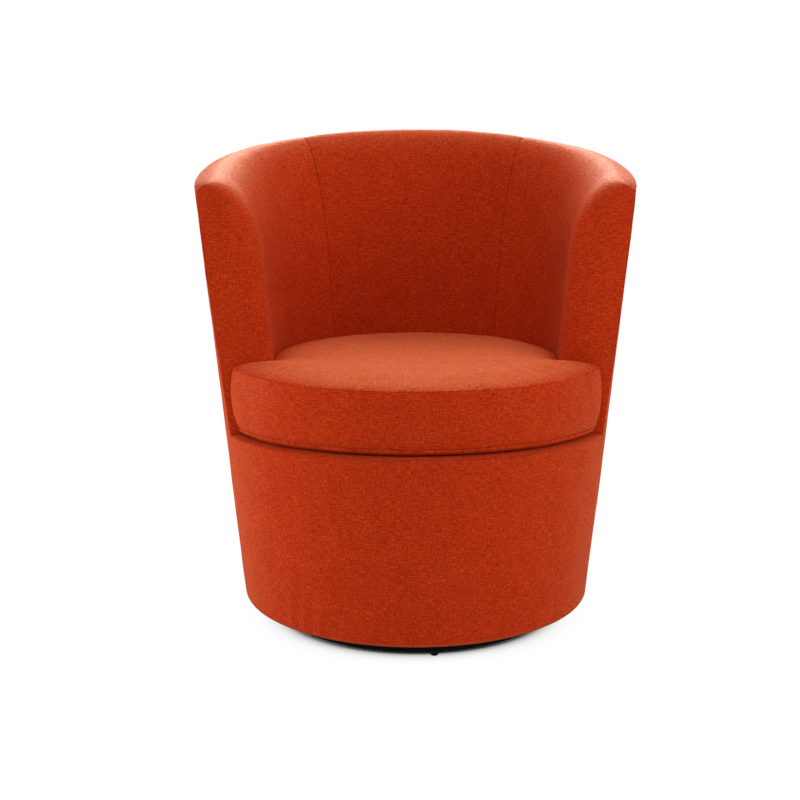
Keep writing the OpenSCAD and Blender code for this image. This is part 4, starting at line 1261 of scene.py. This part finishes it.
def zipTape():
    k = np.linspace(0, zipper["tapeEnd"], zipper["tapePoints"])
    heights = np.linspace(zipper["tapeLow"], zipper["tapeHigh"], zipper["tapeRows"])
    tape = np.array([zipLine(k, h, zipper["behind"]) for h in heights]).transpose(1, 0, 2)
    s = alongLine(tape[:, zipper["tapeRows"] // 2])[::-1, None]
    piece = bentGrid("cushionZip", tape[::-1], np.stack([s + 0 * tape[..., 0], tape[..., 2]], -1))
    giveThickness(piece, zipper["tapeThick"])
    return piece, tape


def zipCoil():
    # A tube whose turns swell and narrow along its length
    line = zipLine(np.linspace(0, zipper["end"], zipper["coilSamples"]), zipper["middle"],
                   zipper["behind"] - zipper["coilOut"])
    line = pointsAlong(line, np.linspace(0, lengthOf(line), zipper["coilPoints"]))
    s = alongLine(line)
    along = unit(np.gradient(line, axis=0))
    up = unit(np.array([0, 0, 1.0]) - along * along[:, 2:3])
    out = np.cross(along, up)
    turns = np.linspace(0, 2 * math.pi, zipper["coilSides"] + 1)
    waist = zipper["coilWaist"]
    tube = []
    for angle in turns[:-1]:
        phase = 2 * math.pi * s / zipper["coilPitch"] + (math.pi if math.sin(angle) < 0 else 0)
        radius = zipper["coilRadius"] * (1 - waist + waist * np.cos(phase))[:, None]
        shape = up * math.sin(angle) * zipper["coilTall"] + out * math.cos(angle) * zipper["coilDeep"]
        tube.append(line + radius * shape)
    tube = closedRound(np.array(tube))
    return bentGrid("zipCoil", tube, np.stack(np.meshgrid(turns, s, indexing="ij"), -1), True)


def bevelledBox(size, at, bevel):
    bpy.ops.object.select_all(action="DESELECT")
    bpy.ops.mesh.primitive_cube_add(size=1, location=at)
    box = bpy.context.active_object
    box.scale = size
    bpy.ops.object.transform_apply(location=True, rotation=False, scale=True)
    applyModifier(box, "BEVEL", width=bevel, segments=3)
    return box


def zipSlider():
    # Slider and its pull tab
    k = zipper["sliderAt"] + np.array([0, zipper["sliderAhead"]])
    a, b = zipHalf(k, zipper["middle"], zipper["behind"] - zipper["sliderOut"])
    upright = Vector((0, 0, 1))
    forward = Vector(b - a).normalized()
    outward = forward.cross(upright).normalized()
    if outward.y < 0:
        outward = -outward
    stand = Matrix((forward, upright, outward)).transposed().to_4x4()
    stand.translation = Vector(a)
    slider = joined("zipSlider", [bevelledBox(zipper["sliderSize"], (0, 0, 0), zipper["sliderBevel"]),
                                  bevelledBox(zipper["tabSize"], zipper["tabAt"], zipper["tabBevel"])])
    slider.data.transform(stand)
    smoothByAngle(slider, zipper["sharpFrom"])
    return slider


def makeZip():
    piece, tape = zipTape()
    finishPiece(piece, "cushion", spunbondCloth, ["cushion_zip"])
    for part in (zipCoil(), zipSlider()):
        finishPiece(part, "cushion", mouldedPolyethylene, [])
    declareSheet(piece, lengthOf(tape[:, 0]), lengthOf(tape[0]), areaOf(tape), ["cushionCore"])
    print("zip made")


# Ledge cover and platform cloth, which the lifted cushion lays bare
deck = {
    "step": 0.008,
    "ledgeWidth": 0.062,
    "ledgeRound": 0.012,
    "ledgeTurns": [0, 4, 9, 16, 25, 36, 50, 65, 78, 90],
    "ledgeRows": 9,
    "ledgeThick": 0.0015,
    "waves": [(0.0006, 0.05, 4.4)],
    "seamForm": (0.0018, 0.0004, 0.0005),
    "clothDraws": [-0.004, 0.002, 0.008, 0.016],
    "clothRows": 26,
    "innermost": 0.325,
    "rearDraws": [0.0, 0.003, 0.010, 0.02, 0.03, 0.045],
    "clothDrop": 0.0004,
    "clothThick": 0.001,
    "sag": 0.0006,
    "sagSize": 0.08,
    "sagSeed": 9.1,
    "sagFrom": 0.24,
    "sagFade": 0.12,
}
lining = {
    "pitch": 0.0022,
    "wavesPerUnit": 20,
    "distortion": 0.4,
    "cloudScale": 30.0,
    "cloudShare": 0.5,
    "dark": (0.2, "#151414"),
    "light": (0.9, "#2E2C2B"),
    "bump": 0.0002,
    "roughness": 0.62,
    "sheen": 0.1,
}


def platformLining():
    # Black polypropylene platform cloth, plain woven from flat tapes: dull, with a slight slick shine
    material, tree = newMaterial("wovenPlatformCloth")
    threads = addNode(tree, "ShaderNodeUVMap", uv_map="threads").outputs[0]
    inputs = {"Vector": threads, "Scale": 1 / lining["pitch"] / lining["wavesPerUnit"],
              "Distortion": lining["distortion"], "Detail": 1.0}
    waves = [addNode(tree, "ShaderNodeTexWave", inputs, wave_type="BANDS", bands_direction=direction).outputs["Fac"]
             for direction in ("X", "Y")]
    weave = maths(tree, "MULTIPLY", *waves)
    cloud = noiseOf(tree, threads, lining["cloudScale"], 4.0, dimensions="3D")
    tone = maths(tree, "MULTIPLY_ADD", cloud, lining["cloudShare"], weave)
    finishedBy(tree, {"Base Color": ramped(tree, tone, lining["dark"], lining["light"]),
                      "Roughness": lining["roughness"], "Sheen Weight": lining["sheen"],
                      "Normal": bumped(tree, weave, lining["bump"])})
    return material


platformCloth = platformLining()


def deckGrid(k, rows):
    rings = [wholeRing(seatRing(k, h, seat["gap"], 0.0, 0.0, draw)) for h, draw in rows]
    return np.array(rings).transpose(1, 0, 2)


def makeDeck():
    drop, rounding, width = tub["edgeDrop"], deck["ledgeRound"], deck["ledgeWidth"]
    k = seatPlaces(0.0, seat["gap"], 0.0, 0.0, deck["step"])
    atLedge = np.concatenate([k, k[-2:0:-1]]) >= seat["rear"] + seat["side"]
    rows = [(drop * (math.sin(a) - 1), rounding * (1 - math.cos(a))) for a in np.radians(deck["ledgeTurns"])]
    rows += [(0.0, mix(rounding, width, t)) for t in np.linspace(0, 1, deck["ledgeRows"])[1:]]
    ledge = deckGrid(k, rows)[atLedge]
    normals = -gridNormals(ledge)
    edge = ledge[:, 0]
    ledge = ledge + normals * unevenness(ledge, deck["waves"])[..., None]
    ledge = sew(ledge, normals, [edge], *deck["seamForm"])
    piece = bentGrid("ledgeCover", ledge, ledge[..., :2])
    faceUp(piece)
    giveThickness(piece, deck["ledgeThick"])
    finishPiece(piece, "chair", ledgeCloth, ["ledge_cover"])
    declareSheet(piece, *flatSize(ledge), areaOf(ledge), ["deckPad"])

    # The platform cloth runs under the ledge's inner edge and sinks a little onto its pad
    draws = [width + d for d in deck["clothDraws"]]
    draws += [mix(draws[-1], deck["innermost"], t) for t in np.linspace(0, 1, deck["clothRows"])[1:]]
    front, rear = (deckGrid(k, [(-deck["clothDrop"], draw) for draw in some]) for some in (draws, deck["rearDraws"]))
    rear[atLedge] = front[atLedge, :1]
    pole = seatMiddle(deckZ(seat["middleY"]) - deck["clothDrop"])
    cloth = withPole(np.concatenate([rear, front], 1), pole)
    away = np.hypot(cloth[..., 0], cloth[..., 1] - pole[1])
    slack = np.clip((deck["sagFrom"] - away) / deck["sagFade"], 0, 1)
    cloth[..., 2] -= deck["sag"] * (1 + wobble(cloth, deck["sagSize"], deck["sagSeed"])) * slack
    piece = bentGrid("platformCloth", cloth, cloth[..., :2], True)
    faceUp(piece)
    giveThickness(piece, deck["clothThick"])
    finishPiece(piece, "chair", platformCloth, ["platform_cloth"])
    declareSheet(piece, *flatSize(cloth), areaOf(cloth), ["deckPad"])
    print("ledge and platform made")


# Foam pads under the inner covers
pads = {
    "step": 0.016,
    "frontStart": 0.004,
    "tip": 1.6,
    "faceIn": 0.0065,
    "over": 0.015,
    "bendDrop": 0.070,
    "frameIn": 0.0113,
    "boardIn": 0.0373,
    "low": 0.3188,
    "fill": 0.85,
}


def padBack(s, rows, face):
    # The frame side of a pad: up the inner board, over the top rail and out to the rim
    up, down = rows[1:]
    low, over, drop = pads["low"], pads["over"], pads["bendDrop"]
    turn = np.sin(s[3]) ** tub["cornerPower"]
    w = cornerW(s[3], over)
    rim = stationRim(s, w)
    peak = face[np.argmax(up >= math.pi / 2 - 1e-6), 2]
    share = np.where(down > 0, 1, np.clip((face[:, 2] - low) / (peak - low), 0, 1))
    z = mix(low, rim - over, share)
    bend = np.clip(drop - (rim - z), 0, None) / (drop - over)
    lean = np.sqrt(np.clip(1 - bend * bend, 0, 1))
    inset = mix(mix(pads["frameIn"], pads["boardIn"], turn * lean), pads["faceIn"], 1 - np.cos(down))
    r = wallRadius(z) - inset
    return place(stationAngle(s, z, r, w), r, z)


def makePad(name, node, stations):
    rows = innerRows(pads["step"])
    face = np.array([innerFace(s, 0.0, pads["low"], rows) for s in stations])
    back = np.array([padBack(s, rows, f) for s, f in zip(stations, face)])
    face -= pads["faceIn"] * gridNormals(face)
    piece = closedShell(name, softTips(face, pads["tip"]), softTips(back, pads["tip"]))
    smoothByAngle(piece)
    finishPiece(piece, "chair", cutFoam, [node])


# Foam pad under the ledge and the platform cloth, and the core of the cushion
seatFoam = {
    "step": 0.014,
    "gap": 0.003,
    "frontIn": 0.0062,
    "low": 0.3225,
    "lowShares": [0.1, 0.4, 0.7, 0.9],
    "edge": [(-0.024, 0.0), (-0.015, 0.0), (-0.010, 0.0015), (-0.0065, 0.006), (-0.0045, 0.014), (-0.004, 0.024)],
    "top": -0.004,
    "topDraws": (0.035, 0.31, 14),
    "coreIn": 0.0075,
    "coreStep": 0.012,
    "fill": 0.9,
}


def makeDeckPad():
    foam = seatFoam
    k = seatPlaces(0.0, seat["gap"], 0.0, 0.0, foam["step"])
    rows = foam["edge"] + [(foam["top"], draw) for draw in np.linspace(*foam["topDraws"])]
    rings = [seatRing(k, h, foam["gap"], foam["frontIn"], 0.0, draw) for h, draw in rows]
    rings[0][:, 2] = foam["low"]
    low, top = seatMiddle(foam["low"]), seatMiddle(deckZ(seat["middleY"]) + foam["top"])
    inner = [mix(rings[0], low, 1 - share) for share in foam["lowShares"]]
    grid = np.array([wholeRing(ring) for ring in inner + rings]).transpose(1, 0, 2)
    piece = closedLump("deckPad", grid, low, top)
    smoothByAngle(piece)
    finishPiece(piece, "chair", cutFoam, ["deck_pad"])


def makeCore():
    piece = closedLump("cushionCore", *cushionForm(seatFoam["coreIn"], seatFoam["coreStep"])[:3])
    finishPiece(piece, "cushion", cutFoam, ["cushion_core"])


wadding = {
    "inset": 0.0044,
    "thick": 0.0021,
    "drumColumns": 117,
    "drumRows": 15,
    "wallRows": 28,
    "armColumns": 22,
    "backColumns": 20,
    "fromFront": 0.06,
}


def makeWaddings():
    # Bonded polyester wadding between the board and the outer cover, thin because the cover presses it
    z = np.linspace(tub["coverLow"] + tub["lowerEdge"], tub["ringHeight"], wadding["drumRows"])
    angles = np.linspace(0, 2 * math.pi, wadding["drumColumns"])
    drum = np.array([place(a + 0 * z, wallRadius(z) - wadding["inset"], z) for a in angles])
    arm = np.linspace(wadding["fromFront"], 1, wadding["armColumns"])
    columns = [("left", t) for t in arm]
    columns += [("back", t) for t in np.linspace(0, 1, wadding["backColumns"])[1:]]
    columns += [("right", 1 - t) for t in arm[::-1][1:]]
    wall = []
    for zone, t in columns:
        z = mix(pads["low"], rimHeightAt(zone, t) - pads["over"], np.linspace(0, 1, wadding["wallRows"]))
        wall.append(place(wallAngle(zone, t, z), wallRadius(z) - wadding["inset"], z))
    for name, grid, closed, node, board in (("drumWadding", drum, True, "drum_wadding", "drum_board"),
                                            ("tubWadding", np.array(wall), False, "tub_wadding", "tub_board")):
        piece = bentGrid(name, grid[::-1], conePattern(grid)[::-1], closed)
        giveThickness(piece, wadding["thick"])
        finishPiece(piece, "chair", bondedWadding, [node])
        wide = max(lengthOf(grid[:, row]) for row in (0, -1))
        declareSheet(piece, wide, lengthOf(grid[len(grid) // 2]), areaOf(grid), [board])


webbing = {
    "straps": 4,
    "width": 0.060,
    "thick": 0.0013,
    "pitch": 0.080,
    "reach": 0.2235,
    "wave": 0.0007,
    "fade": 0.04,
    "endDrop": 0.0006,
    "middle": 0.3196,
    "lengthPoints": 61,
    "widthPoints": 7,
}


def webStrap(n, lengthwise):
    # One strap, that passes over one of those across it and under the next
    pitch, fade = webbing["pitch"], webbing["fade"]
    x = (n - (webbing["straps"] - 1) / 2) * pitch
    length = math.sqrt(webbing["reach"] ** 2 - x * x)
    along = np.linspace(-length, length, webbing["lengthPoints"])
    side = np.linspace(-0.5, 0.5, webbing["widthPoints"]) * webbing["width"]
    inside = np.clip(((webbing["straps"] - 1) / 2 * pitch + fade - np.abs(along)) / fade, 0, 1)
    lift = np.sin(math.pi * (along / pitch + 0.5 + n)) * (1 if lengthwise else -1) * webbing["wave"]
    a, b = np.meshgrid(side, along, indexing="ij")
    z = np.broadcast_to(webbing["middle"] + lift * inside - webbing["endDrop"] * (1 - inside), a.shape)
    points = np.stack([x + a, b + tub["axisY"], z], -1)
    if not lengthwise:
        points = np.stack([b, x + a + tub["axisY"], z], -1)[:, ::-1]
    strap = bentGrid("strap", points, np.stack([a, b], -1))
    faceUp(strap)
    giveThickness(strap, webbing["thick"])
    return strap, areaOf(points)


def makeWebbing():
    for name, node, lengthwise in (("webbingLong", "webbing_long", True), ("webbingCross", "webbing_cross", False)):
        straps, areas = zip(*(webStrap(n, lengthwise) for n in range(webbing["straps"])))
        piece = joined(name, straps)
        finishPiece(piece, "chair", strapWebbing, [node])
        declareSheet(piece, webbing["straps"] * webbing["width"], 2 * webbing["reach"], sum(areas), ["seat_ring"])


dust = {
    "inset": 0.016,
    "hole": 0.2115,
    "z": 0.0426,
    "thick": 0.0006,
    "columns": 193,
    "rows": 12,
    "sag": 0.0016,
    "sagPower": 0.7,
    "staples": 24,
    "stapleShare": 0.45,
    "sagNoise": (0.4, 0.05, 3.3),
}


def makeDustCover():
    # Spunbond cloth under the drum, stapled round its edge and a little slack between the staples
    angles = np.linspace(0, 2 * math.pi, dust["columns"])[:, None]
    share = np.linspace(0, 1, dust["rows"])
    outer = wallRadius(tub["coverLow"]) - dust["inset"]
    inner = place(angles, dust["hole"], dust["z"]) / [tub["stretch"], 1, 1]
    points = mix(inner, place(angles, outer, dust["z"]), share[:, None])
    gathered = 1 - dust["stapleShare"] + dust["stapleShare"] * np.cos(dust["staples"] * angles)
    slack = np.sin(math.pi * share) ** dust["sagPower"] * gathered
    points[..., 2] -= dust["sag"] * slack * (1 + unevenness(points, [dust["sagNoise"]]))
    points[-1] = points[0]
    piece = bentGrid("dustCover", points, points[..., :2], True)
    faceUp(piece, False)
    giveThickness(piece, dust["thick"])
    finishPiece(piece, "chair", spunbondCloth, ["dust_cover"])
    declareSheet(piece, 2 * outer * tub["stretch"], 2 * outer, areaOf(points), ["outerCover"])


# Stage and light: a pale floor, a white surround and soft lamps high round the chair
stage = {
    "floorSize": 14.0,
    "floor": "#F4F4F4",
    "white": (1, 1, 1, 1),
    "shadowEdge": 0.216,
    "shadowFade": 0.0120,
    "shadowNarrow": 0.885,
    "world": 0.36,
    "aim": (0, 0, 0.45),
    "lamps": [
        ("topLamp", (0.2, -0.2, 3.0), 2.4, 17),
        ("backLamp", (0.0, 1.9, 2.7), 1.5, 38),
        ("leftLamp", (-2.8, -0.1, 0.6), 1.2, 34),
        ("rightLamp", (2.7, -0.9, 1.5), 1.8, 30),
        ("frontLamp", (-0.6, -2.9, 2.2), 2.0, 21),
    ],
}


def directRays(tree):
    # 1 for the rays of the camera, of reflections and of glass, to which the surround is plain white
    path = addNode(tree, "ShaderNodeLightPath").outputs
    rays = maths(tree, "MAXIMUM", path["Is Camera Ray"], path["Is Glossy Ray"])
    return maths(tree, "MAXIMUM", rays, path["Is Transmission Ray"])


def vectorMaths(tree, operation, *values):
    return addNode(tree, "ShaderNodeVectorMath", dict(enumerate(values)), operation=operation).outputs


def paleFloor():
    # Plain white to the camera, but for the soft shadow close round the chair's foot
    material, tree = newMaterial("paleFloor")
    spot = addNode(tree, "ShaderNodeTexCoord").outputs["Object"]
    fromAxis = vectorMaths(tree, "SUBTRACT", spot, (0, tub["axisY"], 0))[0]
    away = vectorMaths(tree, "LENGTH", vectorMaths(tree, "MULTIPLY", fromAxis, (stage["shadowNarrow"], 1, 1))[0])
    beyond = maths(tree, "SUBTRACT", away["Value"], stage["shadowEdge"], use_clamp=True)
    shaded = maths(tree, "EXPONENT", maths(tree, "DIVIDE", beyond, -stage["shadowFade"]))
    share = maths(tree, "MULTIPLY", directRays(tree), maths(tree, "SUBTRACT", 1.0, shaded))
    diffuse = addNode(tree, "ShaderNodeBsdfDiffuse", {"Color": toLinear(stage["floor"])}).outputs[0]
    white = addNode(tree, "ShaderNodeEmission", {"Color": stage["white"], "Strength": 1.0}).outputs[0]
    below = addNode(tree, "ShaderNodeNewGeometry").outputs["Backfacing"]
    clear = addNode(tree, "ShaderNodeBsdfTransparent").outputs[0]
    surface = mixedShader(tree, below, mixedShader(tree, share, diffuse, white), clear)
    addNode(tree, "ShaderNodeOutputMaterial", {"Surface": surface})
    return material


def makeWorld():
    world = bpy.data.worlds.new("studio")
    bpy.context.scene.world = world
    world.use_nodes = True
    tree = world.node_tree
    tree.nodes.clear()
    soft, white = (addNode(tree, "ShaderNodeBackground", {"Color": stage["white"], "Strength": strength}).outputs[0]
                   for strength in (stage["world"], 1.0))
    surface = mixedShader(tree, directRays(tree), soft, white)
    addNode(tree, "ShaderNodeOutputWorld", {"Surface": surface})


def makeStage():
    bpy.ops.object.select_all(action="DESELECT")
    bpy.ops.mesh.primitive_plane_add(size=stage["floorSize"])
    floor = bpy.context.active_object
    floor.name = "floor"
    floor.data.materials.append(paleFloor())
    makeWorld()
    for name, at, size, power in stage["lamps"]:
        lamp = bpy.data.lights.new(name, "AREA")
        lamp.shape = "DISK"
        lamp.size = size
        lamp.energy = power
        holder = linkedObject(name, lamp)
        holder.location = at
        aim = Vector(stage["aim"]) - Vector(at)
        holder.rotation_mode = "QUATERNION"
        holder.rotation_quaternion = aim.to_track_quat("-Z", "Y")
    bpy.context.scene.view_settings.view_transform = "Standard"
    print("stage and light made")


makeCamera()
makeOuterCover()
makeInnerCover("backCover", "back_cover", backStations(innerCover["step"]), backCloth, 2.2)
makeInnerCover("armCoverLeft", "arm_cover_left", armStations(-1, innerCover["step"]), coverCloth, 5.1)
makeInnerCover("armCoverRight", "arm_cover_right", armStations(1, innerCover["step"]), coverCloth, 7.6)
makePad("backPad", "back_pad", backStations(pads["step"]))
makePad("armPadLeft", "arm_pad_left", armStations(-1, pads["step"], pads["frontStart"]))
makePad("armPadRight", "arm_pad_right", armStations(1, pads["step"], pads["frontStart"]))
makeWaddings()
makeWebbing()
makeDustCover()
makeDeckPad()
makeDeck()
makeCore()
makeCushion()
makeZip()
finishNodes()
makeStage()
